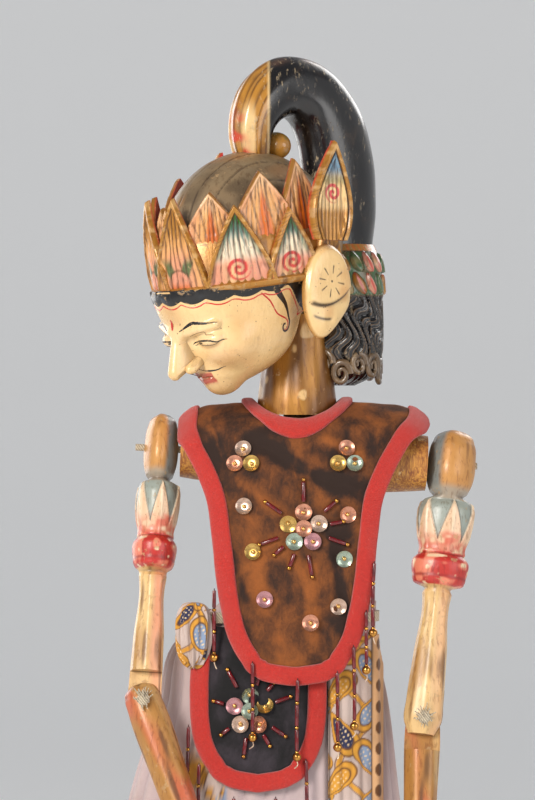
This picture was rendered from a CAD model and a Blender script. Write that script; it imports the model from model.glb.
# The looks of a carved wooden rod puppet, dressed in a velvet tabard, an apron and a cotton
# skirt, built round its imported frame. Shapes are worked out in millimetres and meshed in metres.
import itertools
import math

import bmesh
import bpy
import numpy as np
from mathutils import Matrix, Vector
from mathutils.bvhtree import BVHTree


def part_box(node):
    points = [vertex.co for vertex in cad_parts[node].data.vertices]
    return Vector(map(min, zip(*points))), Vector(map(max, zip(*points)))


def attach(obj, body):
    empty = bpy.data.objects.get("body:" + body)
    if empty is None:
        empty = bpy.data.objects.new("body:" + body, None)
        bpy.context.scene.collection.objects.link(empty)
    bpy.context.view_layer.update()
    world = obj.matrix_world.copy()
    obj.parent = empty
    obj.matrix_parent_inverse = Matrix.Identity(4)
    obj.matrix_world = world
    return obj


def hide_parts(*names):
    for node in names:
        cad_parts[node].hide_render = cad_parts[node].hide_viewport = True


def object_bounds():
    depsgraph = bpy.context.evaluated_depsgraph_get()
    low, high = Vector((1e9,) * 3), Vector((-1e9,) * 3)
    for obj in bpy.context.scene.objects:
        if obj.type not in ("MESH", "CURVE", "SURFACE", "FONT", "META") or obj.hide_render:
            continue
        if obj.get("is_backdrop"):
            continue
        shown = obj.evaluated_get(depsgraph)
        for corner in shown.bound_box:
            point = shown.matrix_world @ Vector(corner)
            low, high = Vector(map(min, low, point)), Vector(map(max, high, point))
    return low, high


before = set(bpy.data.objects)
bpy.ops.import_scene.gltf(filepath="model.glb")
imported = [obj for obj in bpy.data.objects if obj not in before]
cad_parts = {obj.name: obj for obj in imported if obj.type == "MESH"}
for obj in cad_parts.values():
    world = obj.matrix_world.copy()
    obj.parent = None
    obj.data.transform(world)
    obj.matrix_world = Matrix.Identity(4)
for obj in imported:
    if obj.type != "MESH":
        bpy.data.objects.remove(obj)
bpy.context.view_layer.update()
MM = 0.001


# ---------------------------------------------------------------- numbers


def frame_at(origin, *turns):
    """A 4x4 for a local frame, turned about its axes in the order given."""
    matrix = Matrix.Translation(origin)
    for axis, degrees in turns:
        matrix = matrix @ Matrix.Rotation(math.radians(degrees), 4, axis)
    return np.array(matrix)


def moved(points, matrix):
    return np.asarray(points, float) @ matrix[:3, :3].T + matrix[:3, 3]


def along(table, places):
    """Smooth values between the rows of a table whose first column rises."""
    table = np.asarray(table, float)
    keys, values = table[:, 0], table[:, 1:]
    slopes = np.gradient(values, keys, axis=0)
    places = np.asarray(places, float)
    index = np.clip(np.searchsorted(keys, places) - 1, 0, len(keys) - 2)
    gap = (keys[index + 1] - keys[index])[..., None]
    t = np.clip((places - keys[index]) / (keys[index + 1] - keys[index]), 0, 1)[..., None]
    start = (1 + 2 * t) * (1 - t) ** 2 * values[index] + t * (1 - t) ** 2 * gap * slopes[index]
    end = t * t * (3 - 2 * t) * values[index + 1] - t * t * (1 - t) * gap * slopes[index + 1]
    return start + end


def rise(value, low, high):
    """0 below low, 1 above high, smooth between; low may be above high."""
    t = np.clip((value - low) / (high - low), 0, 1)
    return t * t * (3 - 2 * t)


def bell(value, middle, width):
    return np.exp(-(((value - middle) / width) ** 2))


def lumps(points, size, seed=0):
    """Smooth noise from -1 to 1 whose lumps are this many millimetres across."""
    cell = np.asarray(points, float) / size + 31.7 * (seed + 1)
    base = np.floor(cell)
    share = cell - base
    share = share * share * (3 - 2 * share)
    total = 0.0
    for corner in itertools.product((0, 1), repeat=3):
        value = np.sin((base + corner) @ np.array((127.1, 311.7, 74.7)) + 13.1 * seed) * 43758.5453
        weight = np.prod(np.where(corner, share, 1 - share), axis=-1)
        total = total + (value - np.floor(value)) * weight
    return 2 * total - 1


def tint(red, green, blue, gilt=0.0):
    """A linear colour from screen values of 0 to 255; its last value is the share of gilding."""
    screen = np.array((red, green, blue)) / 255
    linear = np.where(screen < 0.04045, screen / 12.92, ((screen + 0.055) / 1.055) ** 2.4)
    return np.append(linear, gilt)


def over(ground, colour, share):
    """One paint over another where share says."""
    share = np.asarray(share)[..., None]
    return ground * (1 - share) + colour * share


def plain(colour, like):
    return np.broadcast_to(colour, like.shape + (4,)).copy()


def solid(red, green, blue):
    """The same colour for a shader's socket."""
    return tuple(tint(red, green, blue, 1))


def circle(count):
    """Angles all round, without the last one twice."""
    return np.linspace(0, 2 * np.pi, count, endpoint=False)


def flat(x, z):
    """Places on a flat cloth."""
    return np.stack([x, z, 0 * x], -1)


def smoothed(ways, mode):
    """Directions along an outline, averaged over their neighbours."""
    ways = np.pad(ways, ((6, 6), (0, 0)), mode=mode)
    return np.stack([np.convolve(ways[:, k], np.ones(13) / 13, "valid") for k in (0, 1)], -1)


# ---------------------------------------------------------------- meshes


class Carving:
    """Grids of points with their paint, gathered into one mesh."""

    def __init__(self):
        self.points, self.paint, self.faces, self.count = [], [], [], 0

    def grid(self, points, paint, wrap=False):
        """Rows of points; with wrap, each row closes on itself."""
        rows, columns = points.shape[:2]
        row, column = np.meshgrid(
            np.arange(rows - 1), np.arange(columns if wrap else columns - 1), indexing="ij"
        )
        beside = (column + 1) % columns
        corners = (row * columns + column, row * columns + beside)
        corners += ((row + 1) * columns + beside, (row + 1) * columns + column)
        self.faces.append(np.stack(corners, -1).reshape(-1, 4) + self.count)
        self.points.append(points.reshape(-1, 3))
        self.paint.append(np.broadcast_to(paint, points.shape[:2] + (4,)).reshape(-1, 4))
        self.count += rows * columns
        return self

    def closed(self, points, paint):
        """Rings of points whose first and last ring are closed with a point."""
        paint = np.broadcast_to(paint, points.shape[:2] + (4,))
        ends = [np.broadcast_to(points[i].mean(0), points[i].shape) for i in (0, -1)]
        points = np.concatenate([ends[0][None], points, ends[1][None]])
        paint = np.concatenate([paint[:1], paint, paint[-1:]])
        return self.grid(points, paint, wrap=True)

    def sheet(self, front, back, front_paint, back_paint=None):
        """A closed thin solid between two grids of the same size."""
        back_paint = front_paint if back_paint is None else back_paint
        shape = front.shape[:2] + (4,)
        paint = [np.broadcast_to(front_paint, shape), np.broadcast_to(back_paint, shape)[:, ::-1]]
        return self.closed(np.concatenate([front, back[:, ::-1]], 1), np.concatenate(paint, 1))

    def tree(self):
        """What the grids so far look like to a ray, in millimetres."""
        return BVHTree.FromPolygons(
            np.concatenate(self.points).tolist(), np.concatenate(self.faces).tolist()
        )

    def piece(self, name, material, body, stands_for=(), slot=None, crease=48):
        """The object, in metres, riding on its body."""
        mesh = bpy.data.meshes.new(name)
        points, faces = np.concatenate(self.points) * MM, np.concatenate(self.faces)
        mesh.vertices.add(len(points))
        mesh.vertices.foreach_set("co", points.ravel())
        mesh.loops.add(faces.size)
        mesh.loops.foreach_set("vertex_index", faces.ravel())
        mesh.polygons.add(len(faces))
        mesh.polygons.foreach_set("loop_start", np.arange(0, faces.size, 4))
        paint = mesh.color_attributes.new("paint", "FLOAT_COLOR", "POINT")
        paint.data.foreach_set("color", np.concatenate(self.paint).ravel())
        mesh.update(calc_edges=True)
        tidy = bmesh.new()
        tidy.from_mesh(mesh)
        bmesh.ops.remove_doubles(tidy, verts=tidy.verts, dist=2e-6)
        bmesh.ops.dissolve_degenerate(tidy, edges=tidy.edges, dist=1e-7)
        bmesh.ops.recalc_face_normals(tidy, faces=tidy.faces)
        tidy.to_mesh(mesh)
        tidy.free()
        mesh.shade_smooth()
        mesh.set_sharp_from_angle(angle=math.radians(crease))
        made = bpy.data.objects.new(name, mesh)
        bpy.context.scene.collection.objects.link(made)
        mesh.materials.append(material)
        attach(made, body)
        if stands_for:
            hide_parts(*stands_for)
        return made


def rings(table, heights, columns, bulge=None):
    """Oval rings about Z from (z, half x, half y, x, y), with an optional outward bulge.

    Gives the points, the heights and the angles, which start at +X and turn towards +Y."""
    z, angle = np.meshgrid(heights, circle(columns), indexing="ij")
    half_x, half_y, x, y = np.moveaxis(along(table, z), -1, 0)
    out = 0 if bulge is None else bulge(z, angle)
    points = np.stack(
        [x + (half_x + out) * np.cos(angle), y + (half_y + out) * np.sin(angle), z], -1
    )
    return points, z, angle


def spline(points, count):
    """A smooth line through points of any number of values, evenly spread by length."""
    points = np.asarray(points, float)
    keys = np.concatenate([[0], np.cumsum(np.linalg.norm(np.diff(points[:, :3], axis=0), axis=1))])
    return along(np.column_stack([keys, points]), np.linspace(0, keys[-1], count))


def tube(line, radius, columns=12):
    """Rings of points round a line; radius may vary along it."""
    way = np.gradient(line, axis=0)
    way /= np.linalg.norm(way, axis=1)[:, None] + 1e-12
    aside = np.cross(way, (0.31, 0.87, 0.38))
    aside /= np.linalg.norm(aside, axis=1)[:, None]
    up = np.cross(aside, way)
    turn = circle(columns)
    radius = np.broadcast_to(radius, len(line))[:, None, None]
    ring = np.cos(turn)[:, None] * aside[:, None] + np.sin(turn)[:, None] * up[:, None]
    return line[:, None] + radius * ring


def ball(centre, radii, rows=14, columns=20):
    """A closed round bead."""
    up = np.linspace(-np.pi / 2, np.pi / 2, rows)[1:-1, None]
    turn = circle(columns)
    unit = np.stack(
        [np.cos(up) * np.cos(turn), np.cos(up) * np.sin(turn), np.sin(up) + 0 * turn], -1
    )
    return np.asarray(centre) + unit * np.broadcast_to(radii, 3)


def stroke(carving, tree, route, widths, colour, lift=0.16, count=60):
    """A painted line laid on a surface: a thin lens in section that follows it."""
    line = spline(np.column_stack([route, np.broadcast_to(widths, len(route))]), count)
    places, outward = [], []
    for point in line[:, :3]:
        place, normal, _, _ = tree.find_nearest(Vector(point))
        places.append(place)
        outward.append(normal)
    places, outward = np.array(places), np.array(outward)
    way = np.gradient(places, axis=0)
    way /= np.linalg.norm(way, axis=1)[:, None] + 1e-12
    aside = np.cross(way, outward)
    half = np.maximum(line[:, 3:4], 0.02) / 2
    edges = []
    for side in (-1, 1):
        snapped = [tree.find_nearest(Vector(p))[0] for p in places + side * half * aside]
        edges.append(np.array(snapped) - 0.03 * outward)
    raised = places + lift * outward
    sunk = places - 0.3 * outward
    carving.closed(np.stack([edges[0], raised, edges[1], sunk], 1), colour)


# ---------------------------------------------------------------- materials


class Finish:
    """A node material in the making, on object coordinates in metres."""

    def __init__(self, name, rough, **sockets):
        self.material = bpy.data.materials.new(name)
        self.material.use_nodes = True
        self.tree = self.material.node_tree
        self.shader = self.tree.nodes["Principled BSDF"]
        self.shader.inputs["Roughness"].default_value = rough
        for socket, value in sockets.items():
            self.shader.inputs[socket.replace("_", " ")].default_value = value
        self.place = self.node("TexCoord").outputs["Object"]

    def node(self, kind, links=(), **settings):
        made = self.tree.nodes.new("ShaderNode" + kind)
        for key, value in settings.items():
            setattr(made, key, value)
        for socket, value in links:
            self.feed(made.inputs[socket], value)
        return made

    def feed(self, socket, value):
        if isinstance(value, bpy.types.NodeSocket):
            self.tree.links.new(value, socket)
        else:
            socket.default_value = value

    def scaled(self, scale):
        return self.node("Mapping", [("Vector", self.place), ("Scale", scale)]).outputs[0]

    def noise(self, size, detail=4.0, rough=0.55, stretch=(1, 1, 1), distort=0.0):
        """Noise whose lumps are this many millimetres, stretched along the axes."""
        places = self.scaled([1 / (size * MM * s) for s in stretch])
        links = [("Vector", places), ("Scale", 1.0), ("Detail", detail), ("Roughness", rough)]
        return self.node("TexNoise", links + [("Distortion", distort)]).outputs["Fac"]

    def spots(self, size):
        """Distance from the middles of cells this many millimetres across."""
        places = self.scaled([1 / (size * MM)] * 3)
        return self.node(
            "TexVoronoi", [("Vector", places), ("Scale", 1.0)], feature="F1"
        ).outputs["Distance"]

    def threads(self, period, way):
        """Bands across one axis, a thread's period in millimetres."""
        links = [("Vector", self.place), ("Scale", 2 * math.pi / (20 * period * MM))]
        links += [("Distortion", 0.6), ("Detail", 1.0), ("Detail Scale", 0.3)]
        return self.node("TexWave", links, bands_direction=way).outputs["Fac"]

    def ramp(self, value, low, high, start=0.0, end=1.0):
        links = [("Value", value), ("From Min", low), ("From Max", high), ("To Min", start)]
        made = self.node("MapRange", links + [("To Max", end)], interpolation_type="SMOOTHSTEP")
        return made.outputs[0]

    def math(self, operation, first, second):
        return self.node("Math", [(0, first), (1, second)], operation=operation, use_clamp=True).outputs[0]

    def times(self, first, second):
        return self.math("MULTIPLY", first, second)

    def plus(self, first, second):
        return self.math("ADD", first, second)

    def stained(self, colour, *shares):
        """A colour darkened by this share of its red, green and blue."""
        return self.mix(1.0, colour, shares + (1,), "MULTIPLY")

    def mix(self, share, first, second, blend="MIX"):
        made = self.node("Mix", data_type="RGBA", blend_type=blend)
        self.feed(made.inputs[0], share)
        self.feed(made.inputs[6], first)
        self.feed(made.inputs[7], second)
        return made.outputs[2]

    def paint(self):
        """The painted colour of each point and its share of gilding."""
        made = self.node("Attribute", attribute_name="paint")
        return made.outputs["Color"], made.outputs["Alpha"]

    def edges(self):
        """Crevices near 0 and ridges near 1."""
        return self.ramp(self.node("NewGeometry").outputs["Pointiness"], 0.4, 0.6)

    def bump(self, height, distance, strength=1.0, under=None):
        links = [("Height", height), ("Distance", distance * MM), ("Strength", strength)]
        if under is not None:
            links.append(("Normal", under))
        return self.node("Bump", links).outputs[0]

    def done(self, colour, rough=None, normal=None, metallic=None):
        self.feed(self.shader.inputs["Base Color"], colour)
        for socket, value in (("Roughness", rough), ("Normal", normal), ("Metallic", metallic)):
            if value is not None:
                self.feed(self.shader.inputs[socket], value)
        return self.material


WOOD_UNDER = solid(150, 100, 55)
GRIME = solid(70, 42, 22)
GRAIN = (0.22, 0.22, 1.0)


def painted_wood(name, flaking=0.5, grime=0.5, grain=0.35, gloss=0.42, specks=0.3):
    """Old paint and gilding on carved wood: worn at the edges, dirty in the hollows."""
    f = Finish(name, gloss, Coat_Weight=0.25, Coat_Roughness=0.22)
    colour, gilt = f.paint()
    fibres = f.noise(7.0, 6, 0.6, GRAIN, 0.4)
    patches = f.noise(9.0, 6, 0.62)
    fine = f.noise(1.1, 5, 0.6)
    ridge = f.edges()
    mottled = f.mix(f.ramp(patches, 0.35, 0.7, 0.0, 0.3), colour, f.stained(colour, 0.8, 0.66, 0.5))
    streaks = f.times(f.ramp(fibres, 0.52, 0.66), grain)
    streaked = f.mix(streaks, mottled, f.stained(mottled, 0.42, 0.28, 0.18))
    worn = f.times(f.ramp(f.plus(f.noise(4.2, 8, 0.68), f.times(ridge, 0.16)), 0.69, 0.73), flaking)
    chipped = f.mix(worn, streaked, f.mix(fine, WOOD_UNDER, solid(205, 178, 132)))
    hollow = f.ramp(ridge, 0.46, 0.14)
    dirt = f.times(f.plus(hollow, f.ramp(f.noise(2.6, 7, 0.7), 0.6, 0.78, 0.0, 0.55)), grime)
    dirty = f.mix(dirt, chipped, GRIME)
    dots = f.times(f.ramp(f.spots(2.3), 0.17, 0.1), f.ramp(f.noise(6.0, 3), 0.46, 0.6))
    speckled = f.mix(f.times(dots, specks), dirty, GRIME)
    rough = f.ramp(f.plus(f.times(patches, 0.5), f.times(worn, 0.6)), 0.1, 0.9, gloss - 0.14, gloss + 0.34)
    normal = f.bump(fibres, 0.28, 0.5)
    normal = f.bump(worn, 0.12, 0.5, normal)
    normal = f.bump(fine, 0.12, 0.45, normal)
    metallic = f.times(gilt, f.math("SUBTRACT", 0.62, worn))
    return f.done(speckled, rough, normal, metallic)


def bare_wood(name, light, dark, gilding=0.0, gloss=0.5):
    """Stained or gilded wood with long grain, pores and cream flakes."""
    f = Finish(name, gloss, Coat_Weight=0.15, Coat_Roughness=0.3)
    fibres = f.noise(6.0, 8, 0.62, (0.16, 0.16, 1.0), 0.5)
    patches = f.noise(14.0, 5, 0.6)
    pores = f.noise(1.6, 4, 0.7, (0.25, 0.25, 2.4))
    colour = f.mix(f.ramp(fibres, 0.36, 0.64), light, dark)
    colour = f.mix(f.ramp(patches, 0.42, 0.7, 0.0, 0.55), colour, f.stained(colour, 0.6, 0.42, 0.28))
    flakes = f.ramp(f.noise(5.0, 8, 0.7, (1, 1, 1.5)), 0.6, 0.66, 0.0, gilding)
    colour = f.mix(flakes, colour, solid(226, 196, 140))
    colour = f.mix(f.ramp(pores, 0.56, 0.7, 0.0, 0.6), colour, GRIME)
    rough = f.ramp(patches, 0.3, 0.7, gloss - 0.12, gloss + 0.2)
    normal = f.bump(fibres, 0.3, 0.6)
    normal = f.bump(pores, 0.15, 0.5, normal)
    return f.done(colour, rough, normal, f.times(flakes, 0.25))


def lacquer(name):
    """Glossy black over wood, scratched to cream and worn brown at the edges."""
    f = Finish(name, 0.24, Coat_Weight=0.45, Coat_Roughness=0.2)
    colour, _ = f.paint()
    scratches = f.noise(5.0, 10, 0.72, (0.35, 0.6, 1.0), 0.3)
    areas = f.noise(17.0, 3, 0.5)
    ridge = f.edges()
    scuffed = f.times(f.ramp(scratches, 0.56, 0.64), f.ramp(areas, 0.4, 0.6))
    colour = f.mix(f.times(scuffed, 0.6), colour, solid(196, 172, 134))
    rubbed = f.times(f.ramp(f.plus(ridge, f.times(scratches, 0.4)), 0.84, 1.0), 0.5)
    colour = f.mix(rubbed, colour, solid(136, 108, 78))
    colour = f.mix(f.ramp(f.noise(8.0, 6, 0.65), 0.5, 0.72, 0, 0.35), colour, solid(70, 52, 38))
    rough = f.ramp(f.plus(f.times(areas, 0.6), f.times(scuffed, 0.6)), 0.15, 0.8, 0.16, 0.55)
    normal = f.bump(f.noise(9.0, 5, 0.6, (0.5, 0.5, 1)), 0.5, 0.35)
    normal = f.bump(scuffed, 0.1, 0.5, normal)
    return f.done(colour, rough, normal)


def velvet(name, light, dark):
    """Crushed velvet: dark where the pile faces away, with a sheen on its crests."""
    f = Finish(name, 0.85, Sheen_Weight=0.6, Sheen_Roughness=0.35)
    f.shader.inputs["Sheen Tint"].default_value = light
    colour, nap = f.paint()
    crushed = f.noise(15.0, 4, 0.55, (1, 1, 1.5), 1.2)
    small = f.noise(2.4, 6, 0.75, (1, 1, 1.6), 0.6)
    pile = f.noise(0.35, 3, 0.7)
    shade = f.plus(f.times(crushed, 0.62), f.times(small, 0.38))
    lit = f.ramp(f.plus(f.times(shade, 0.8), f.times(nap, 0.42)), 0.46, 0.84)
    tone = f.mix(lit, dark, light)
    tone = f.mix(f.ramp(pile, 0.3, 0.7, 0.0, 0.4), tone, f.stained(tone, 0.45, 0.4, 0.38))
    tone = f.mix(1.0, tone, colour, "MULTIPLY")
    normal = f.bump(crushed, 0.7, 0.5)
    normal = f.bump(pile, 0.25, 0.7, normal)
    return f.done(tone, None, normal)


def felt(name):
    """Pressed red felt, with fibres and a little lint."""
    f = Finish(name, 0.9, Sheen_Weight=0.35, Sheen_Roughness=0.5)
    colour, _ = f.paint()
    fibres = f.noise(0.7, 6, 0.7, (1, 1, 1), 2.0)
    patches = f.noise(8.0, 4, 0.5)
    tone = f.mix(f.ramp(fibres, 0.35, 0.7), f.stained(colour, 0.6, 0.46, 0.46), colour)
    tone = f.mix(f.ramp(patches, 0.4, 0.7, 0.0, 0.5), tone, f.stained(tone, 1.0, 1.35, 1.2))
    lint = f.times(f.ramp(f.noise(0.9, 2, 0.5, (1, 3, 1), 3.0), 0.68, 0.74), 0.5)
    tone = f.mix(lint, tone, solid(246, 170, 150))
    normal = f.bump(fibres, 0.6, 0.9)
    normal = f.bump(patches, 0.6, 0.3, normal)
    return f.done(tone, None, normal)


def cotton(name):
    """Plain woven cotton, printed by the paint of its points, a little soiled."""
    f = Finish(name, 0.85, Sheen_Weight=0.15, Sheen_Roughness=0.5)
    colour, _ = f.paint()
    weave = f.times(f.plus(f.threads(0.42, "X"), f.threads(0.42, "Z")), 0.5)
    slub = f.noise(2.2, 5, 0.7, (0.4, 0.4, 3.0))
    stains = f.noise(26.0, 6, 0.62)
    tone = f.mix(f.ramp(weave, 0.1, 0.6), f.stained(colour, 0.7, 0.66, 0.64), colour)
    tone = f.mix(f.ramp(slub, 0.5, 0.75, 0.0, 0.3), tone, f.stained(tone, 0.75, 0.7, 0.66))
    tone = f.mix(f.ramp(stains, 0.45, 0.75, 0.0, 0.4), tone, f.stained(tone, 0.72, 0.6, 0.5))
    normal = f.bump(weave, 0.12, 0.6)
    normal = f.bump(slub, 0.25, 0.4, normal)
    return f.done(tone, None, normal)


def foil(name):
    """Old iridescent sequins and brass beads."""
    f = Finish(name, 0.24, Specular_IOR_Level=0.7, Thin_Film_Thickness=430.0, Thin_Film_IOR=1.5)
    colour, gilt = f.paint()
    worn = f.noise(1.6, 6, 0.65)
    tone = f.mix(f.ramp(worn, 0.5, 0.72, 0.0, 0.6), colour, f.stained(colour, 0.5, 0.38, 0.26))
    rough = f.ramp(worn, 0.3, 0.8, 0.16, 0.5)
    return f.done(tone, rough, f.bump(worn, 0.08, 0.5), f.ramp(gilt, 0.0, 1.0, 0.0, 0.9))


def glass(name):
    """Dark red glass beads on cotton thread."""
    f = Finish(name, 0.14, Coat_Weight=0.5, Coat_Roughness=0.08)
    colour, gilt = f.paint()
    streaks = f.noise(1.4, 5, 0.6, (1, 1, 2.5))
    tone = f.mix(f.ramp(streaks, 0.4, 0.7), colour, f.stained(colour, 0.42, 0.3, 0.34))
    rough = f.ramp(streaks, 0.3, 0.8, 0.1, 0.4)
    return f.done(tone, rough, f.bump(streaks, 0.05, 0.4), gilt)


def twine(name, colour):
    """Twisted cotton cord."""
    f = Finish(name, 0.9, Sheen_Weight=0.2)
    twist = f.node("Mapping", [("Vector", f.place), ("Rotation", (0.5, 0.6, 0.2))]).outputs[0]
    links = [("Vector", twist), ("Scale", 2 * math.pi / (20 * 0.9 * MM)), ("Distortion", 1.5)]
    strands = f.node("TexWave", links).outputs["Fac"]
    fluff = f.noise(0.6, 5, 0.7)
    tone = f.mix(strands, tuple(0.55 * c for c in colour[:3]) + (1,), tuple(colour))
    tone = f.mix(f.ramp(fluff, 0.5, 0.75, 0.0, 0.5), tone, solid(120, 96, 70))
    normal = f.bump(strands, 0.5, 0.8)
    return f.done(tone, None, f.bump(fluff, 0.2, 0.6, normal))


CARVED_HEAD = painted_wood("carved_head", flaking=0.3, grime=0.45, grain=0.1, gloss=0.34, specks=0.75)
CARVED_CROWN = painted_wood("carved_crown", flaking=0.5, grime=0.9, grain=0.35, gloss=0.42)
CARVED_ARM = painted_wood("carved_arm", flaking=0.6, grime=0.55, grain=0.5, gloss=0.5)
PAINT_LINE = painted_wood("brushed_line", flaking=0.55, grime=0.2, grain=0.1, gloss=0.4)
BLACK_HAIR = lacquer("black_hair")
NECK_WOOD = painted_wood("neck_gilding", flaking=0.75, grime=0.9, grain=0.5, gloss=0.5)
BODY_WOOD = bare_wood("body_wood", tint(206, 146, 62, 1), tint(140, 78, 34, 1), 0.9)
ROD_WOOD = bare_wood("rod_wood", tint(176, 138, 92, 1), tint(120, 84, 50, 1), 0.0, 0.55)
BROWN_VELVET = velvet("brown_velvet", tint(150, 84, 30, 1), tint(40, 20, 9, 1))
BLACK_VELVET = velvet("black_velvet", tint(58, 50, 58, 1), tint(9, 7, 10, 1))
RED_FELT = felt("red_felt")
COTTON = cotton("woven_cotton")
SEQUIN_FOIL = foil("sequin_foil")
BEAD_GLASS = glass("bead_glass")
TWINE = twine("cotton_twine", tint(222, 206, 178, 1))


# ---------------------------------------------------------------- colours

CREAM = tint(232, 196, 138)
CREAM_PALE = tint(242, 214, 168)
OCHRE = tint(176, 122, 46, 0.5)
OCHRE_DARK = tint(104, 64, 24, 0.3)
INCISED = tint(74, 40, 16)
PEACH = tint(222, 164, 100)
ORANGE = tint(212, 104, 26)
PINK = tint(218, 148, 120)
ROSE = tint(200, 48, 48)
RED = tint(196, 44, 34)
WHITE = tint(232, 214, 186)
SLATE = tint(88, 118, 110)
GREEN = tint(58, 96, 52)
BLUE = tint(104, 136, 158)
BLACK = tint(16, 14, 16)
CAP = tint(132, 112, 84)

# ---------------------------------------------------------------- head
# The head is worked out facing -Y, then turned to the puppet's right with this frame.

HEAD = frame_at((0, 0, 0), ("Z", -52))
# how much of the head's own depth and width lies ahead of the body
DEPTH_AHEAD, WIDTH_AHEAD = 0.788, 0.616
FACE = HEAD @ frame_at((0, -26, 505), ("X", 28))
CROWN = HEAD @ frame_at((0, -24, 515), ("X", 8.5))
FACE_TO_CROWN = np.linalg.inv(CROWN) @ FACE
BROW = [(-16, 21, 35), (-8, 26.8, 41.0), (0, 31.2, 45.4), (6, 32.4, 46.2)]


def ellipsoid(p, centre, radii):
    """Distance to an ellipsoid, near enough close to its surface."""
    q = (p - centre) / radii
    near = np.linalg.norm(q, axis=-1)
    return near * (near - 1) / (np.linalg.norm(q / radii, axis=-1) + 1e-9)


def rod(p, start, end, start_radius, end_radius):
    start, way = np.array(start, float), np.subtract(end, start)
    share = np.clip((p - start) @ way / (way @ way), 0, 1)
    gap = np.linalg.norm(p - start - share[..., None] * way, axis=-1)
    return gap - start_radius - (end_radius - start_radius) * share


def melt(first, second, width):
    """Two solids joined with a fillet of this width."""
    share = np.clip(0.5 + 0.5 * (second - first) / width, 0, 1)
    return second + (first - second) * share - width * share * (1 - share)


def scoop(solid, tool, width):
    return -melt(-solid, tool, width)


def face_field(p):
    """A calm, refined face in its own frame: X to its left, -Y ahead, Z up."""
    m = p.copy()
    m[..., 0] = np.abs(m[..., 0])  # the two halves are alike
    f = melt(ellipsoid(m, (0, -7, 14), (28.8, 35.0, 32)), ellipsoid(m, (0, -11, -5), (26.3, 28, 23)), 7)
    f = melt(f, rod(m, (0, -12, -8), (0, -27, -20.5), 17, 8.5), 6)
    q = moved(p, FACE_TO_CROWN)
    half = along(BROW, q[..., 2])
    band = (np.hypot(q[..., 0] / half[..., 0], q[..., 1] / half[..., 1]) - 1) * half[..., 0]
    f = melt(f, np.maximum(band, np.abs(q[..., 2] + 5) - 9), 6)
    f = np.maximum(f, q[..., 2] - 0.4)  # the crown and the skull cap are over this
    f = melt(f, ellipsoid(m, (14.5, -26.5, -5.5), (9.5, 9.5, 8)), 6)
    f = melt(f, ellipsoid(m, (0, -29.5, -15.5), (9.5, 8, 7)), 5)
    f = melt(f, ellipsoid(m, (0, -29.5, -23.0), (6.2, 6.5, 5.2)), 4)
    f = scoop(f, ellipsoid(m, (12.5, -45.5, 1.2), (9, 8, 4.6)), 4)
    f = melt(f, rod(m, (3.5, -41.3, 6.2), (19, -34.5, 6.4), 2.2, 1.5), 3)
    f = melt(f, ellipsoid(m, (12.6, -34.6, 0.4), (7.4, 5.2, 3.7)), 1.6)
    f = melt(f, rod(m, (0, -41.2, 6), (0, -50.5, -8.6), 2.3, 3.1), 3.2)
    f = melt(f, ellipsoid(m, (3.6, -43.2, -9.6), (2.5, 4.0, 2.5)), 1.6)
    f = scoop(f, ellipsoid(m, (2.4, -45.6, -12.2), (1.2, 2.2, 1.2)), 1.0)
    f = melt(f, rod(m, (0, -37.3, -15.9), (5.6, -34.8, -16.5), 1.5, 0.7), 1.3)
    f = melt(f, rod(m, (0, -36.6, -18.9), (4.4, -34.9, -18.4), 1.7, 0.8), 1.3)
    f = scoop(f, rod(m, (0, -39.2, -17.4), (6.4, -35.6, -17.2), 0.5, 0.35), 0.7)
    return f


def cast(field, centre, azimuths, heights, far):
    """A closed grid where rays from a centre leave a solid; azimuth 0 looks along -Y."""
    turn, up = np.meshgrid(azimuths, heights)
    way = np.stack([np.sin(turn) * np.cos(up), -np.cos(turn) * np.cos(up), np.sin(up)], -1)
    centre = np.array(centre, float)
    low, high = np.full(turn.shape, 1.0), np.full(turn.shape, float(far))
    open_yet = np.ones(turn.shape, bool)
    reaches = np.linspace(far, 8, 26)
    for outer, inner in zip(reaches, reaches[1:]):
        hit = open_yet.copy()
        hit[open_yet] = field(centre + way[open_yet] * inner) < 0
        low[hit], high[hit] = inner, outer
        open_yet &= ~hit
    for _ in range(9):
        middle = (low + high) / 2
        inside = field(centre + way * middle[..., None]) < 0
        low, high = np.where(inside, middle, low), np.where(inside, high, middle)
    return centre + way * low[..., None]


spread = np.linspace(-np.pi, np.pi, 381)[:-1]
azimuths = spread - 0.5 * np.sin(spread)
lift = np.linspace(-1, 1, 248)
heights = np.pi / 2 * (0.72 * lift + 0.28 * lift**3)
skin = cast(face_field, (0, -9, -3), azimuths, heights, 70)
x, y, z = np.moveaxis(skin, -1, 0)
paint = plain(CREAM, x)
paint = over(paint, CREAM_PALE, 0.6 * bell(z, 3, 9) * rise(-y, 26, 40))
paint = over(paint, tint(228, 160, 120), 0.22 * bell(np.abs(x), 17, 8) * bell(z, -8, 7))
paint = over(paint, tint(196, 148, 96), 0.5 * rise(lumps(skin, 14, 3), 0.0, 0.9))
paint = over(paint, tint(170, 120, 72), 0.55 * rise(-z, 17, 27) + 0.3 * rise(y, -4, 14))
mouth = np.maximum(
    bell(z, -16.2, 1.3), bell(z, -18.9, 1.4)
) * rise(6.4 - np.abs(x), 0, 0.9) * rise(-y, 31, 33)
paint = over(paint, tint(176, 58, 46), 0.9 * np.clip(mouth * 1.6, 0, 1))
FACE_SKIN = Carving().grid(moved(skin, FACE), paint, wrap=True)
face_tree = FACE_SKIN.tree()


def on_face(points):
    """Places in the face's frame, given as (side, height) ahead or (side, ahead, height)."""
    points = [(p[0], -46.0, p[1]) if len(p) == 2 else (p[0], -p[1], p[2]) for p in points]
    return moved(points, FACE)


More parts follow.
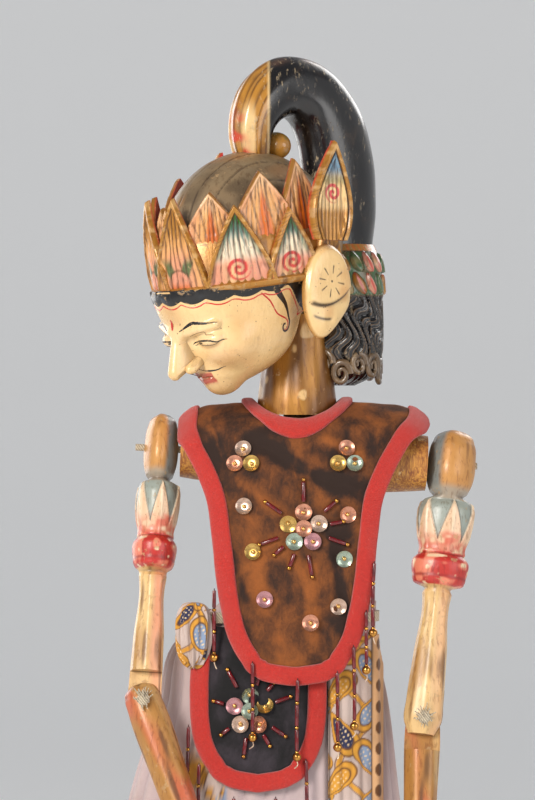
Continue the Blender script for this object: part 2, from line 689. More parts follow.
face_lines = Carving()
for side in (-1, 1):
    def mark(points, widths, colour, lift=0.14):
        route = [(side * p[0],) + tuple(p[1:]) for p in points]
        stroke(face_lines, face_tree, on_face(route), widths, colour, lift)

    # brow, upper lid, lower lid and the crease over the lid
    mark([(4.2, 43, 7.4), (9, 42, 9.6), (15, 40, 9.8), (21.5, 34, 7.6)], (0.5, 1.5, 1.4, 0.4), BLACK)
    mark(
        [(5.6, 41, -0.4), (9, 41, 1.2), (13.5, 40, 1.3), (18, 36, -0.1), (21, 33, -1.4)],
        (0.4, 0.9, 1.1, 1.0, 0.3), BLACK
    )
    mark([(6.4, 41, -0.9), (10, 41, -1.5), (14, 39.5, -1.5), (18, 36, -0.7)], (0.3, 0.45, 0.5, 0.3), BLACK)
    mark([(7, 41, 3.2), (12, 40, 4.4), (18, 37, 3.0)], (0.3, 0.5, 0.25), INCISED)
    mark([(8.9, 41, -0.2), (10.4, 41, 0.1), (12.2, 41, -0.2)], (1.0, 2.3, 1.0), BLACK, 0.1)
    # a thin moustache, a small side lock in black, and its red echo
    mark(
        [(0.7, 42, -13.4), (4.5, 40, -14.0), (9.5, 35, -14.4), (12.5, 32, -12.4)],
        (0.3, 1.0, 0.7, 0.2), BLACK
    )
    curl = np.linspace(6.6, 1.2, 16)
    lock = [(27.4, 5.6 - 0.55 * t * math.cos(t), -9.5 + 0.62 * t * math.sin(t)) for t in curl]
    mark([(29.5, 7.0, 14), (29.5, 5.0, 6), (28.6, 2.5, -1.5)] + lock, (4.2, 3.4, 2.0) + (1.15,) * 16, BLACK)
    echo = [(27.4, 5.9 - 0.38 * t * math.cos(t), -9.5 + 0.42 * t * math.sin(t)) for t in curl[:9]]
    mark([(30, 13.5, 10), (29.4, 10.4, 5), (28.8, 8.4, -2)] + echo, (0.9,) * 12, RED)

mark_middle = on_face([(-3.2, 45, -17.25), (0, 45, -17.5), (3.2, 45, -17.25)])
stroke(face_lines, face_tree, mark_middle, (0.3, 0.55, 0.3), tint(70, 20, 16))
stroke(face_lines, face_tree, on_face([(0, 10.7), (0, 11.6), (0, 12.5)]), (0.7, 1.9, 0.7), RED)


# the crown stands on an oval ring, in the crown's frame: (height, half side, half depth)
RING = [(-8, 30.8, 44.5), (0, 32.8, 46.4), (24, 34.2, 47.2), (47, 33.0, 44.8), (62, 31, 42)]


def on_ring(angle, height, out):
    """A place beside the crown's ring; angle 0 is its front and grows to the head's left."""
    half_x, half_y = np.moveaxis(along(RING, height), -1, 0)
    place = ((half_x + out) * np.sin(angle), -(half_y + out) * np.cos(angle), height + 0 * angle)
    return np.stack(place, -1)


# hairline: a black scalloped band under the crown, with a thin red line below it
hairline = Carving()
angle = np.radians(np.linspace(-116, 116, 420))
scallops = np.abs(np.sin(angle * 10.5 + 0.4)) * 1.7
drop = 3.9 + scallops + 17 * rise(np.abs(angle), 1.42, 1.86)
front, back = [], []
for share in (0.0, 0.3, 0.6, 0.85, 1.0):
    guess = moved(on_ring(angle, 0.2 - share * (drop + 0.2), 3.0), CROWN)
    hits = [face_tree.find_nearest(Vector(p))[:2] for p in guess]
    place, out = np.array([h[0] for h in hits]), np.array([h[1] for h in hits])
    front.append(place + out * 0.55 * (1 - share**4))
    back.append(place - out * 0.4)
shade = over(
    plain(BLACK, np.zeros((5, 420))), tint(70, 84, 100),
    0.5 * (np.arange(5)[:, None] < 3) * rise(lumps(np.array(front), 4, 2), 0, 0.8)
)
hairline.sheet(np.array(front), np.array(back), shade)
under = moved(on_ring(angle[14:-14], -(drop[14:-14] + 1.4), 3.0), CROWN)
stroke(hairline, face_tree, under[::6], 0.75, tint(206, 52, 40), 0.14, 420)


# ---------------------------------------------------------------- crown


def leaf(carving, centre, half, foot, height, out, lean, colour, roof=1.0, columns=46, depth=1.0):
    """A leaf carved in relief on the crown's ring, whose point takes the share roof of its height;
    colour paints it from (u, t) and millimetres."""
    t, u = np.meshgrid(np.linspace(0, 1, 84) ** 0.92, np.linspace(-1, 1, columns), indexing="ij")
    wide = half * np.clip((1 - t) / roof, 0, 1) ** 0.84 * (1 + 0.1 * np.sin(np.pi * t))
    wide = np.maximum(wide, 0.01)
    across, up = u * wide, t * height
    inset = wide * (1 - np.abs(u))
    rim = rise(inset, 0.1, 0.7) * rise(inset, 2.7, 1.9)
    vein = bell(across, 0, 0.45) * rise(t, 0.95, 0.8) * rise(t, 0.05, 0.2)
    wander = 0.7 * lumps(np.stack([across, 0.3 * up, 0 * up + centre], -1), 3.0, 2)
    flutes = np.cos((across + wander) / (0.5 + 0.9 * (1 - t)) * 2.4) * rise(inset, 2.2, 3.4)
    relief = depth * (0.8 * rim - 0.8 * rise(inset, 2.0, 4.2) + 0.24 * flutes + 0.3 * vein)
    relief = relief - 0.9 * rise(inset, 0.55, 0.0) + 0.13 * lumps(
        np.stack([across, up, 0 * up + centre], -1), 2.2, 5
    )
    place = np.radians(centre) + across / 42.0
    stand = out + lean * t**2
    front = on_ring(place, foot + up, stand + relief)
    thickness = 2.6 * rise(t, 0.0, 0.06) * (1 - 0.3 * t) + 0.02
    back = on_ring(place, foot + up, stand - thickness)
    face_paint = colour(u, t, across, up, inset)
    face_paint = over(
        face_paint, INCISED, 0.6 * rise(-flutes, 0.25, 0.95) * rise(lumps(front, 2.6, 9), -0.5, 0.4)
    )
    inner = over(plain(tint(176, 62, 44), u), OCHRE_DARK, 0.5 * rise(lumps(back, 6, 4), 0.1, 0.7))
    carving.sheet(moved(front, CROWN), moved(back, CROWN), face_paint, inner)


def rim_paint(paint, across, up, inset):
    """A worn gilded rim with fine incised strokes."""
    place = np.stack([across, up, up], -1)
    gold = over(plain(OCHRE, up), CREAM, 0.5 * rise(lumps(place, 3, 7), 0, 0.8))
    strokes = np.sin(up * 4.6 + np.abs(across) * 2.2 + 1.5 * lumps(place, 4, 3))
    gold = over(gold, INCISED, 0.55 * rise(strokes, 0.6, 0.95) * rise(lumps(place, 5, 5), -0.3, 0.3))
    gold = over(gold, INCISED, 0.9 * bell(inset, 2.5, 0.28))
    return over(paint, gold, rise(inset, 2.75, 2.45))


def spiral(across, up, height, size, turns=2.2):
    """Share of a painted spiral whose middle is at this height."""
    far = np.hypot(across, up - height)
    turn = (np.arctan2(up - height, across) / (2 * np.pi)) % 1.0
    pitch = size / turns
    near = np.abs((far / pitch - turn + 0.5) % 1.0 - 0.5) * pitch
    return rise(near, 0.95, 0.55) * rise(far, size, size - 0.8)


def front_leaf(u, t, across, up, inset):
    """Grey-green tip, white middle and a red spiral at the foot."""
    streaks = np.sin(across * 3.3 + 1.2 * lumps(np.stack([across, up, up], -1), 5, 1))
    paint = over(plain(WHITE, u), SLATE, rise(t + 0.05 * streaks, 0.5, 0.68))
    paint = over(
        paint, GREEN,
        0.8 * rise(t + 0.06 * streaks, 0.62, 0.8) + 0.6 * rise(inset, 4.6, 3) * rise(t, 0.2, 0.4)
    )
    paint = over(paint, PINK, rise(t, 0.42, 0.26))
    paint = over(paint, CREAM, 0.7 * bell(across, -2.5, 4.0) * rise(t, 0.4, 0.2))
    paint = over(paint, SLATE, 0.7 * rise(streaks, 0.5, 0.95) * rise(t, 0.3, 0.5))
    paint = over(paint, ROSE, 0.95 * spiral(across + 0.4, up, 8.0, 5.4, 1.9))
    return rim_paint(paint, across, up, inset)


def middle_leaf(u, t, across, up, inset):
    """A leaf over the forehead: gilded, with a bud and green leaves at its foot."""
    paint = over(plain(PEACH, u), OCHRE, rise(t, 0.45, 0.7))
    paint = over(paint, PINK, 0.8 * rise(t, 0.55, 0.3) * rise(np.abs(u), 0.9, 0.3))
    blades = rise(np.abs(np.abs(across) - 0.45 * up), 3.2, 2.0) * rise(up, 17, 12)
    paint = over(paint, GREEN, 0.9 * blades)
    bud = rise(np.hypot(across / 1.15, (up - 4.5) / 1.1), 5.2, 4.6)
    paint = over(paint, over(plain(ORANGE, u), PINK, rise(up, 1.5, 6)), bud)
    paint = over(paint, INCISED, 0.7 * bell(np.hypot(across / 1.15, (up - 4.5) / 1.1), 5.3, 0.35))
    return rim_paint(paint, across, up, inset)


def back_leaf(u, t, across, up, inset):
    """Peach, with an orange flame and a fan of fine incised lines."""
    paint = over(plain(PEACH, u), PINK, 0.5 * rise(np.abs(u), 0.35, 0.9))
    paint = over(paint, WHITE, 0.35 * rise(t, 0.7, 0.95))
    flame = rise(np.abs(across) / (0.8 + 4.2 * rise(t, 0.86, 0.4)), 1.0, 0.35) * rise(t, 0.9, 0.7)
    paint = over(paint, ORANGE, 0.95 * flame)
    fan = np.sin(np.arctan2(across, up - 6) * 26)
    paint = over(paint, INCISED, 0.6 * rise(fan, 0.72, 0.97) * rise(inset, 1.0, 2.0))
    return over(paint, over(plain(OCHRE, u), INCISED, 0.3), rise(inset, 1.5, 0.8))


def gilded_leaf(u, t, across, up, inset):
    """A gilded leaf, incised all over."""
    paint = over(plain(OCHRE, u), PEACH, 0.6 * rise(t, 0.6, 0.95))
    fan = np.sin(np.arctan2(across, up + 10) * 34)
    return over(paint, INCISED, 0.7 * rise(fan, 0.6, 0.95))


front_row, back_row = Carving(), Carving()
for side in (-1, 1):
    leaf(front_row, side * 15, 16.0, -1.2, 41, 1.9, -0.4, middle_leaf)
    leaf(front_row, side * 54, 15.8, -0.8, 35, 1.7, 0.4, front_leaf)
    leaf(front_row, side * 85, 13.0, -0.6, 31, 1.5, 0.4, front_leaf)
    leaf(front_row, side * 112, 9.5, -0.5, 31, 0.9, 0.4, gilded_leaf, columns=36)
    leaf(back_row, side * 39, 10.6, 2, 38.5, -1.2, -0.6, back_leaf, 0.34, depth=0.6)
    leaf(back_row, side * 72, 11.0, 2, 45, -1.3, -0.8, back_leaf, 0.34, depth=0.6)
    leaf(back_row, side * 98, 9.6, 2, 48.5, -1.5, -0.8, back_leaf, 0.38, depth=0.6)
    leaf(back_row, side * 3, 8.0, 2, 34, -1.4, -1.0, back_leaf, 0.4, 36, 0.6)

# the rolled edge that the leaves stand on, and the wall behind them
angle = np.radians(np.linspace(-121, 121, 300))
section = [
    (-1.8, 2.0), (-0.6, 2.9), (0.8, 2.6), (1.6, 0.9), (17, -0.9), (20, -1.9), (16, -3.4), (4, -3.0),
    (-1.8, -1.6)
]
band = np.stack([on_ring(angle, np.full(300, z), out) for z, out in section], 1)
shade = over(plain(OCHRE, band[..., 0]), INCISED, 0.6 * rise(lumps(band, 3, 8), 0.1, 0.7))
front_row.closed(moved(band, CROWN), shade)

# ---------------------------------------------------------------- skull cap, hair and ears

turn = circle(240)
level = np.linspace(-0.5, np.pi / 2, 90)[:, None]
DOME_HALF, DOME_FOOT = (30.4, 44.4, 43.6), 527
dome = np.stack(
    [
        DOME_HALF[0] * np.cos(level) * np.sin(turn),
        DOME_HALF[1] * np.cos(level) * -np.cos(turn) - 24.5,
        DOME_FOOT + DOME_HALF[2] * np.sin(level) + 0 * turn,
    ], -1
)
# shallow tooled lines that run from the brow to the nape
lines = np.abs(np.sin(dome[..., 0] * 0.42 + 0.5 * lumps(dome, 16, 2)))
dome[..., 2] -= 0.8 * rise(lines, 0.16, 0.0) * rise(level, 0.1, 0.4)
paint = over(
    plain(CAP, dome[..., 0]), tint(92, 76, 56),
    0.8 * rise(lumps(dome * (1, 0.25, 1), 5, 1), -0.1, 0.7)
)
paint = over(paint, tint(176, 122, 62), 0.4 * rise(lumps(dome * (1, 0.3, 1), 7, 6), 0.2, 0.8))
paint = over(paint, tint(52, 38, 26), 0.8 * rise(lines, 0.14, 0.02))
skull_cap = Carving().closed(moved(dome, HEAD), paint)

# (ahead of the rod, height, heading, half thickness, half width) from nape to claw
ARCH = [
    (-22.5, 520, 90, 16.0, 12.0), (-24.0, 548, 92, 17.9, 12.5), (-22.8, 568, 76, 18.2, 12.5),
    (-16.4, 585.4, 50, 17.0, 12.5), (-4.5, 597.2, 18, 15.0, 12.0), (9.0, 599.2, -15, 13.2, 11.5),
    (20.0, 592.0, -50, 11.6, 11.0), (25.2, 582, -76, 9.6, 9.8), (25.4, 571, -94, 7.6, 8.4),
    (22.0, 563.0, -120, 4.4, 5.8),
]
rows, columns = 230, 110
line = spline([(a, z, 0, h, t, w) for a, z, h, t, w in ARCH], rows)
way = np.radians(line[:, 3])[:, None]
turn = circle(columns)
share = np.linspace(0, 1, rows)[:, None]
soft = np.sign(np.cos(turn)) * np.abs(np.cos(turn)) ** 0.86
claw = rise(share, 0.66, 0.76)
grooves = 0.45 * claw * np.cos(turn * 9) * rise(soft, -0.2, 0.3)
thick = line[:, 4:5] * soft + grooves * np.sign(soft + 1e-9)
wide = line[:, 5:6] * np.sin(turn) + 0 * share
arch = np.stack([wide, -(line[:, 0:1] - np.sin(way) * thick), line[:, 1:2] + np.cos(way) * thick], -1)
arch += 0.35 * lumps(arch, 13, 9)[..., None] * (0, 1, 0.4)
paint = over(
    plain(BLACK, wide), tint(104, 66, 38),
    0.8 * rise(lumps(arch, 11, 4), 0.1, 0.6) * rise(soft, 0.6, 0.98) * rise(share, 0.3, 0.45)
)
ahead = -DEPTH_AHEAD * arch[..., 1] - WIDTH_AHEAD * np.abs(arch[..., 0])
gilded = rise(ahead, 12.4, 12.9) * rise(share, 0.6, 0.62)
patchy = rise(lumps(arch, 4, 6), -0.2, 0.5)
gold = over(plain(OCHRE, wide), OCHRE_DARK, 0.7 * rise(lumps(arch, 6, 2), 0, 0.7))
gold = over(gold, INCISED, 0.7 * rise(np.sin(turn * 22 + 2.2 * lumps(arch, 9, 5)) + 0 * share, 0.3, 0.9))
inner = rise(ahead, 17.5, 19.0)
gold = over(gold, CREAM, 0.9 * inner * rise(share, 0.8, 0.86) * rise(np.abs(np.sin(turn)), 0.2, 0.6))
gold = over(gold, ROSE, 0.75 * inner * rise(share, 0.87, 0.95) * patchy)
gold = over(gold, RED, 0.75 * rise(soft, 0.72, 0.95) * rise(share, 0.8, 0.9) * patchy)
paint = over(paint, gold, gilded)
paint = over(paint, CREAM, 0.85 * bell(ahead, 12.5, 0.5) * rise(share, 0.6, 0.62))
hair_arch = Carving().closed(moved(arch, HEAD), paint)
curl_ball = ball((0, -12.0, 573.6), (7.6, 6.2, 6.2), 26, 40)
paint = over(plain(OCHRE, curl_ball[..., 0]), GREEN, 0.6 * rise(lumps(curl_ball, 3, 3), 0, 0.8))
hair_arch.closed(moved(curl_ball, HEAD), paint)


def tall_leaf(side):
    """The tall leaf behind an ear stud: gilded rims, a blue tip and a red swirl."""
    t, u = np.meshgrid(np.linspace(0, 1, 110), np.linspace(-1, 1, 56), indexing="ij")
    box_low, box_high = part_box("ear_leaf_left")
    tall = (box_high.z - box_low.z) / MM - 0.4
    wide = along([(0, 8.4), (0.14, 10.6), (0.34, 11.2), (0.62, 8.0), (0.85, 3.6), (1, 0.02)], t)[..., 0]
    across, up = u * wide + 2.0 * t**2, t * tall
    inset = wide * (1 - np.abs(u))
    inner_rim = rise(inset, 4.6, 4.1) * rise(inset, 2.9, 3.4)
    relief = 1.1 * rise(
        inset, 0.1, 0.7
    ) * rise(inset, 2.6, 2.0) + 0.8 * inner_rim - 0.4 * rise(inset, 4.4, 6)
    relief += 0.15 * np.cos(across * 3) * rise(inset, 4, 5) - 0.8 * rise(inset, 0.5, 0)
    paint = over(plain(CREAM, u), BLUE, rise(t, 0.58, 0.72))
    paint = over(paint, GREEN, 0.5 * bell(t, 0.6, 0.05))
    paint = over(paint, OCHRE, rise(t, 0.36, 0.26))
    paint = over(paint, ROSE, spiral(across - 0.8, up, 0.47 * tall, 4.6, 1.7))
    paint = over(paint, INCISED, 0.6 * rise(np.sin(across * 2.8 + up * 0.3), 0.7, 0.97))
    paint = rim_paint(paint, across, up, inset)
    middle = np.array((0, -14.0, 530.7))
    front = middle + np.stack([side * (41.6 + relief), across * 1.0, up], -1)
    back = middle + np.stack([side * (38.7 - 0.6 * (1 - u**2)) + 0 * u, across, up], -1)
    inner = over(plain(RED, u), ORANGE, 0.4 * rise(lumps(back, 5, 2), 0, 0.8))
    return Carving().sheet(moved(front, HEAD), moved(back, HEAD), paint, inner)


def ear(side):
    """An ear with a round stud over it: a pale oval with a smile-shaped groove."""
    far, turn = np.meshgrid(np.linspace(0.0, 1, 60), circle(150), indexing="ij")
    across, up = far * np.cos(turn), far * np.sin(turn)
    narrow = 1 - 0.24 * rise(-up, 0.2, 1.0)
    across, up = 12.9 * across * narrow - 3.6 * rise(-up, 0.1, 1.1), 20.4 * up
    smile = up + 5.5 - 3.2 * (across / 10) ** 2 - 0.28 * across
    relief = 2.6 * np.sqrt(np.clip(1 - far**5, 0, 1)) + 1.3 * rise(smile, -0.5, 0.7) * rise(far, 1.0, 0.86)
    relief += 0.5 * bell(np.hypot(across, up + 12), 3, 3.4) * rise(-smile, 0, 1)
    paint = over(
        plain(CREAM, up), tint(206, 150, 92),
        0.6 * rise(lumps(np.stack([across, up, up], -1), 8, 2), 0, 0.8)
    )
    paint = over(paint, BLACK, 0.97 * bell(smile, 0.0, 0.8) * rise(10.6 - np.abs(across), 0, 1.5))
    second = smile + 6.4 + 0.15 * across
    paint = over(paint, BLACK, 0.9 * bell(second, 0.0, 0.6) * rise(5.5 - np.abs(across + 4), 0, 2))
    star = np.hypot(across, up - 4.2)
    rays = rise(
        np.cos(8 * np.arctan2(up - 4.2, across) + 1.2), 0.86, 0.97
    ) * rise(star, 3.0, 3.6) * rise(star, 7.4, 6.4)
    paint = over(paint, BLACK, 0.9 * np.maximum(rays, rise(star, 0.6, 0.4)))
    paint = over(paint, OCHRE, 0.8 * rise(far, 0.93, 0.99))
    front = np.stack([side * (34.6 + relief), -11.5 + across, 509 + up], -1)
    back = np.stack(
        [side * (34.6 - 4.5 * np.sqrt(1 - 0.9 * far**2)), -11.5 + across * 0.96, 509 + up * 0.96], -1
    )
    points, shades = np.concatenate([front, back[::-1]]), np.concatenate([paint, paint[::-1]])
    return points, shades


ears = Carving()
for side in (-1, 1):
    points, shades = ear(side)
    ears.grid(moved(points, HEAD), shades, wrap=True)

# nape: the bun of waved locks below, and a painted garland over it
NAPE = [
    (468.8, 9, 7, 0, 22), (472, 17, 12.5, 0, 22), (478, 22, 16.5, 0, 21.5), (495, 26.4, 18.8, 0, 20),
    (506, 26.6, 19.6, 0, 19), (515, 26, 20.6, 0, 18.5), (524, 24, 20, 0, 19), (531, 19, 16, 0, 21),
]


def locks(z, turn):
    """Waved locks that run down the nape."""
    round_it = 24 * turn
    waves = round_it + 2.6 * np.sin(z * 0.36 + 3 * np.sin(turn * 2)) + 1.6 * np.sin(z * 0.17 + turn * 5)
    comb = np.abs(np.sin(waves * 0.55))
    strands = np.abs(np.sin(waves * 1.9 + 0.8 * np.sin(z * 0.3)))
    return (1.5 * comb**0.6 + 0.4 * strands - 1.3) * rise(z, 512, 507)


def petals(z, turn):
    """A garland's leaves in two rows: how far each place is inside its leaf, and which leaf."""
    row = np.where(z > 518.5, 1, 0)
    wide = 7.2
    local = (24 * turn + 0.45 * (z - 509) + wide * 0.5 * row) / wide
    number = np.floor(local)
    across = (local - number - 0.5) * wide
    up = (z - 508.6 - 9.6 * row) / 9.6
    half = 3.3 * np.sqrt(np.clip(np.sin(np.pi * np.clip(up, 0, 1)), 0, 1)) * (1.15 - 0.4 * up)
    return half - np.abs(across), number + 3 * row, across


points, z, turn = rings(NAPE, np.linspace(468.8, 531, 170), 300, locks)
depth = locks(z, turn)
paint = over(
    plain(BLACK, z), tint(150, 128, 100),
    0.5 * rise(depth, 0.5, 0.8) * rise(lumps(points, 3, 3), 0.1, 0.8)
)
garland = rise(z, 507.4, 508.6)
inside, number, across = petals(z, turn)
field = over(plain(GREEN, z), OCHRE_DARK, 0.6 * rise(lumps(points, 3, 1), -0.2, 0.6))
bloom = np.sin(number * 2.4)
leaves = over(plain(PINK, z), GREEN, rise(bloom, 0.3, 0.35))
leaves = over(leaves, OCHRE, rise(-bloom, 0.55, 0.6))
leaves = over(leaves, ROSE, 0.85 * bell(np.abs(across), 0, 0.8) * (bloom < 0.3))
leaves = over(leaves, CREAM, 0.5 * rise(lumps(points, 4, 5), 0.1, 0.7))
field = over(field, leaves, rise(inside, 0.0, 0.4))
field = over(field, INCISED, 0.85 * bell(inside, 0.1, 0.32))
paint = over(paint, field, garland)
teeth = over(plain(OCHRE, z), ORANGE, 0.8 * rise(np.sin(24 * turn * 1.7 + z), 0.2, 0.7))
paint = over(paint, teeth, rise(z, 527.6, 528.0))
paint = over(paint, INCISED, 0.8 * (bell(z, 508, 0.4) + bell(z, 527.6, 0.35)))
bulge = garland * (0.6 + 1.3 * rise(inside, 0, 1.6))
points[..., :2] += bulge[..., None] * np.stack([np.cos(turn), np.sin(turn)], -1)
nape = Carving().closed(moved(points, HEAD), paint)
# rolled curls round the foot of the nape
for index, angle in enumerate(range(-86, 274, 24)):
    height, size = 476.5 + 2.6 * math.sin(index * 2.3), 4.7 + 0.5 * math.sin(index * 1.7)
    swirl = np.linspace(0, 3.2 * np.pi, 60)
    reach = size * (1 - swirl / 12.5)
    aside, down = reach * np.cos(swirl), reach * np.sin(swirl) * 1.25
    around = np.radians(angle) + aside / 21
    route = np.stack([23.4 * np.cos(around), 21 + 17.6 * np.sin(around), height + down], -1)
    lock = tube(route, 1.7 * (1 - swirl / 18), 10)
    shade = over(plain(BLACK, lock[..., 0]), tint(150, 128, 100), 0.5 * rise(lumps(lock, 2.6, 3), 0.2, 0.8))
    nape.closed(moved(lock, HEAD), shade)

# neck: a turned peg, gilded once
NECK = [
    (456, 17.2, 17.2, 0, 0), (460, 17.3, 17.3, 0, 0), (470, 16.4, 16.4, 0, 0),
    (482, 14.8, 14.8, 0, 0), (500, 13.2, 13.2, 0, 0)
]
points, z, turn = rings(
    NECK, np.linspace(456, 500, 90), 200, lambda z,
    a: 0.16 * np.cos(7 * a + 0.1 * z) + 0.1 * np.cos(17 * a)
)
paint = over(plain(OCHRE, z), OCHRE_DARK, 0.85 * rise(lumps(points * (1, 1, 0.4), 7, 2), -0.2, 0.5))
paint = over(paint, CREAM, 0.7 * rise(lumps(points * (1, 1, 0.6), 4, 8), 0.42, 0.62))
neck = Carving().closed(points, paint)

FACE_SKIN.piece("face", CARVED_HEAD, "rod", ["head"], "painted_face")
face_lines.piece("face_lines", PAINT_LINE, "rod", slot="black_lacquer")
hairline.piece("hairline", PAINT_LINE, "rod", slot="black_lacquer")
front_row.piece("crown_front_leaves", CARVED_CROWN, "rod", ["crown"], "gilt_leaf")
back_row.piece("crown_back_leaves", CARVED_CROWN, "rod", slot="gilt_leaf")
skull_cap.piece("skull_cap", CARVED_ARM, "rod", slot="gilt_leaf")
hair_arch.piece("hair_arch_lacquered", BLACK_HAIR, "rod", ["hair_arch"], "black_lacquer")
tall_leaf(1).piece("tall_leaf_left", CARVED_CROWN, "rod", ["ear_leaf_left"], "gilt_leaf")
tall_leaf(-1).piece("tall_leaf_right", CARVED_CROWN, "rod", ["ear_leaf_right"], "gilt_leaf")
ears.piece("ear_studs", CARVED_HEAD, "rod", slot="painted_face")
nape.piece("nape_hair", BLACK_HAIR, "rod", slot="black_lacquer")
neck.piece("neck_peg", NECK_WOOD, "rod", slot="gilt_leaf")

# ---------------------------------------------------------------- arms


def arm_frame(shoulder, lean, tilt):
    return frame_at(shoulder, ("X", -lean), ("Y", tilt))


# shoulder, lean of the whole arm, tilt of the upper arm and of the forearm, half sizes of the
# shoulder block's width and the ring, radius of the stick at the ring and the elbow, and of
# the forearm. "right" is the puppet's right, on -X.
ARMS = {
    "right": dict(
        side=-1, shoulder=(-59.8, 0, 441.01), lean=15, upper=3.2, fore=-20, block=7.2,
        ring=(9.5, 12.3), stick=(6.0, 7.0), girth=7.8
    ),
    "left": dict(
        side=1, shoulder=(68.0, 0, 433.87), lean=12, upper=7.0, fore=2.5, block=10.2,
        ring=(12.2, 9.8), stick=(6.4, 8.0), girth=7.2
    ),
}
UPPER, LAP, GAP = 113.0, 13.5, 0.15
SALMON = tint(222, 150, 112)
STICK_CREAM = tint(222, 186, 128)
GOLD_BROWN = tint(176, 124, 60, 0.25)


def lapped(points, step, side, below):
    """Half of the wood cut away beyond the step, so that two pieces lie side by side."""
    beyond = points[..., 2] < step if below else points[..., 2] > step
    y = points[..., 1]
    cut = np.maximum(y, GAP) if side > 0 else np.minimum(y, -GAP)
    points[..., 1] = np.where(beyond, cut, y)
    return points


def upper_arm(name, arm):
    wide, deep = arm["ring"]
    top, end = arm["stick"]
    block = arm["block"]
    table = [
        (
            14.6, 0.42 * block, 4.6
        ), (13.2, 0.66 * block, 7.2), (9.5, 0.88 * block, 10.2), (2, block, 12.1), (-7, 0.98 * block, 12.0),
        (-12.5, 0.82 * block, 9.6), (-15.4, 0.7 * block, 8.2), (-16.4, 0.8 * wide, 0.8 * deep), (
            -19.5, 0.97 * wide, 0.97 * deep
        ),
        (-24, wide, deep), (-32, 0.93 * wide, 0.93 * deep), (-39.5, 0.8 * wide, 0.8 * deep), (
            -41.0, 0.84 * wide, 0.84 * deep
        ),
        (-43.2, 0.99 * wide, 0.99 * deep), (-47, 1.02 * wide, 1.02 * deep), (-50, 0.97 * wide, 0.97 * deep),
        (
            -52.3, 0.93 * wide, 0.93 * deep
        ), (-54, 0.82 * wide, 0.82 * deep), (-54.8, 1.12 * top, 1.12 * top), (-58, top, top),
        (
            -85, 0.5 * (top + end), 0.5 * (top + end)
        ), (-105, end, end), (-114, end, 0.98 * end), (-119.5, 0.72 * end, 0.72 * end),
    ]
    table = [(z, a, b, 0, 0) for z, a, b in reversed(table)]
    step = -UPPER + LAP
    levels = np.sort(np.append(np.linspace(-119.5, 14.6, 320), (step - 0.02, step + 0.02)))

    def leaves(z, turn):
        """Height of the leaf carving and the share that is leaf, with its midrib."""
        lobe = np.abs(((turn * 6 / (2 * np.pi) + 0.25) % 1.0) - 0.5) * 2
        down = (-z - 16.5) / 24.0
        leaf_share = rise(down - 0.78 * (1 - lobe) ** 1.1, -0.04, 0.05) * rise(down, 1.04, 0.98)
        return leaf_share, lobe, down

    def carving(z, turn):
        leaf_share, lobe, _ = leaves(z, turn)
        here = rise(z, -16.0, -17.5) * rise(z, -41.5, -40.5)
        facets = 0.22 * np.cos(7 * turn + 0.02 * z) * rise(z, -56, -60)
        planes = 0.35 * np.cos(4 * turn + 0.8) * rise(z, -15, -8)
        ridge = 0.35 * bell(lobe, 1.0, 0.12)
        return here * (0.85 * leaf_share - 0.45 + ridge * leaf_share) + facets + planes

    points, z, turn = rings(table, levels, 190, carving)
    leaf_share, lobe, down = leaves(z, turn)
    streak = lumps(points * (1, 1, 0.12), 2.4, 4)
    broad = lumps(points * (1, 1, 0.3), 7, 6)
    ochre = over(
        over(plain(tint(198, 142, 78, 0.2), z), SALMON, 0.5 * rise(broad, -0.2, 0.7)),
        tint(128, 82, 42), 0.7 * rise(streak, 0.1, 0.8)
    )
    inward = -arm["side"] * np.cos(turn)
    paint = over(ochre, tint(128, 134, 132), rise(inward, 0.3, 0.62))
    paint = over(paint, tint(150, 148, 138), 0.8 * rise(z, -9, -13))
    band = over(plain(tint(150, 158, 150), z), tint(226, 188, 154), leaf_share)
    band = over(
        band, WHITE, leaf_share * (0.6 * bell(lobe, 1.0, 0.16) + 0.75 * bell(leaf_share, 0.5, 0.35))
    )
    wash = rise(down + 0.22 * lumps(points, 5, 3), 0.52, 0.92)
    band = over(band, tint(206, 84, 62), 0.85 * wash * rise(lumps(points, 2.2, 5), -0.75, 0.1))
    paint = over(paint, band, rise(z, -16.2, -16.8))
    ring_red = over(
        plain(tint(186, 44, 36), z), tint(226, 130, 104), rise(lumps(points, 3.6, 7), 0.05, 0.4)
    )
    ring_red = over(ring_red, tint(236, 208, 172), rise(lumps(points, 2.6, 8), 0.25, 0.5))
    ring_red = over(ring_red, tint(150, 28, 24), 0.8 * bell(z, -50.8, 0.7))
    paint = over(paint, ring_red, rise(z, -39.6, -40.6))
    stick = over(
        plain(STICK_CREAM, z), SALMON,
        rise(np.cos(turn * 2 + 1.4) + 0.6 * broad, -0.1, 0.9) * (0.95 if arm["side"] < 0 else 0.4)
    )
    stick = over(stick, tint(168, 120, 62), 0.8 * rise(broad, 0.15, 0.8))
    stick = over(stick, tint(108, 70, 36), 0.75 * rise(streak, 0.25, 0.75))
    paint = over(paint, stick, rise(z, -54.3, -54.9))
    points = lapped(points, step, -arm["side"], True)
    made = Carving().closed(moved(points, arm_frame(arm["shoulder"], arm["lean"], arm["upper"])), paint)
    made.piece(
        "upper_arm_carved_" + name, CARVED_ARM, "upper_arm_" + name, ["upper_arm_" + name],
        "painted_arm", 40
    )


def elbow_of(arm):
    return moved(np.array((0, 0, -UPPER)), arm_frame(arm["shoulder"], arm["lean"], arm["upper"]))


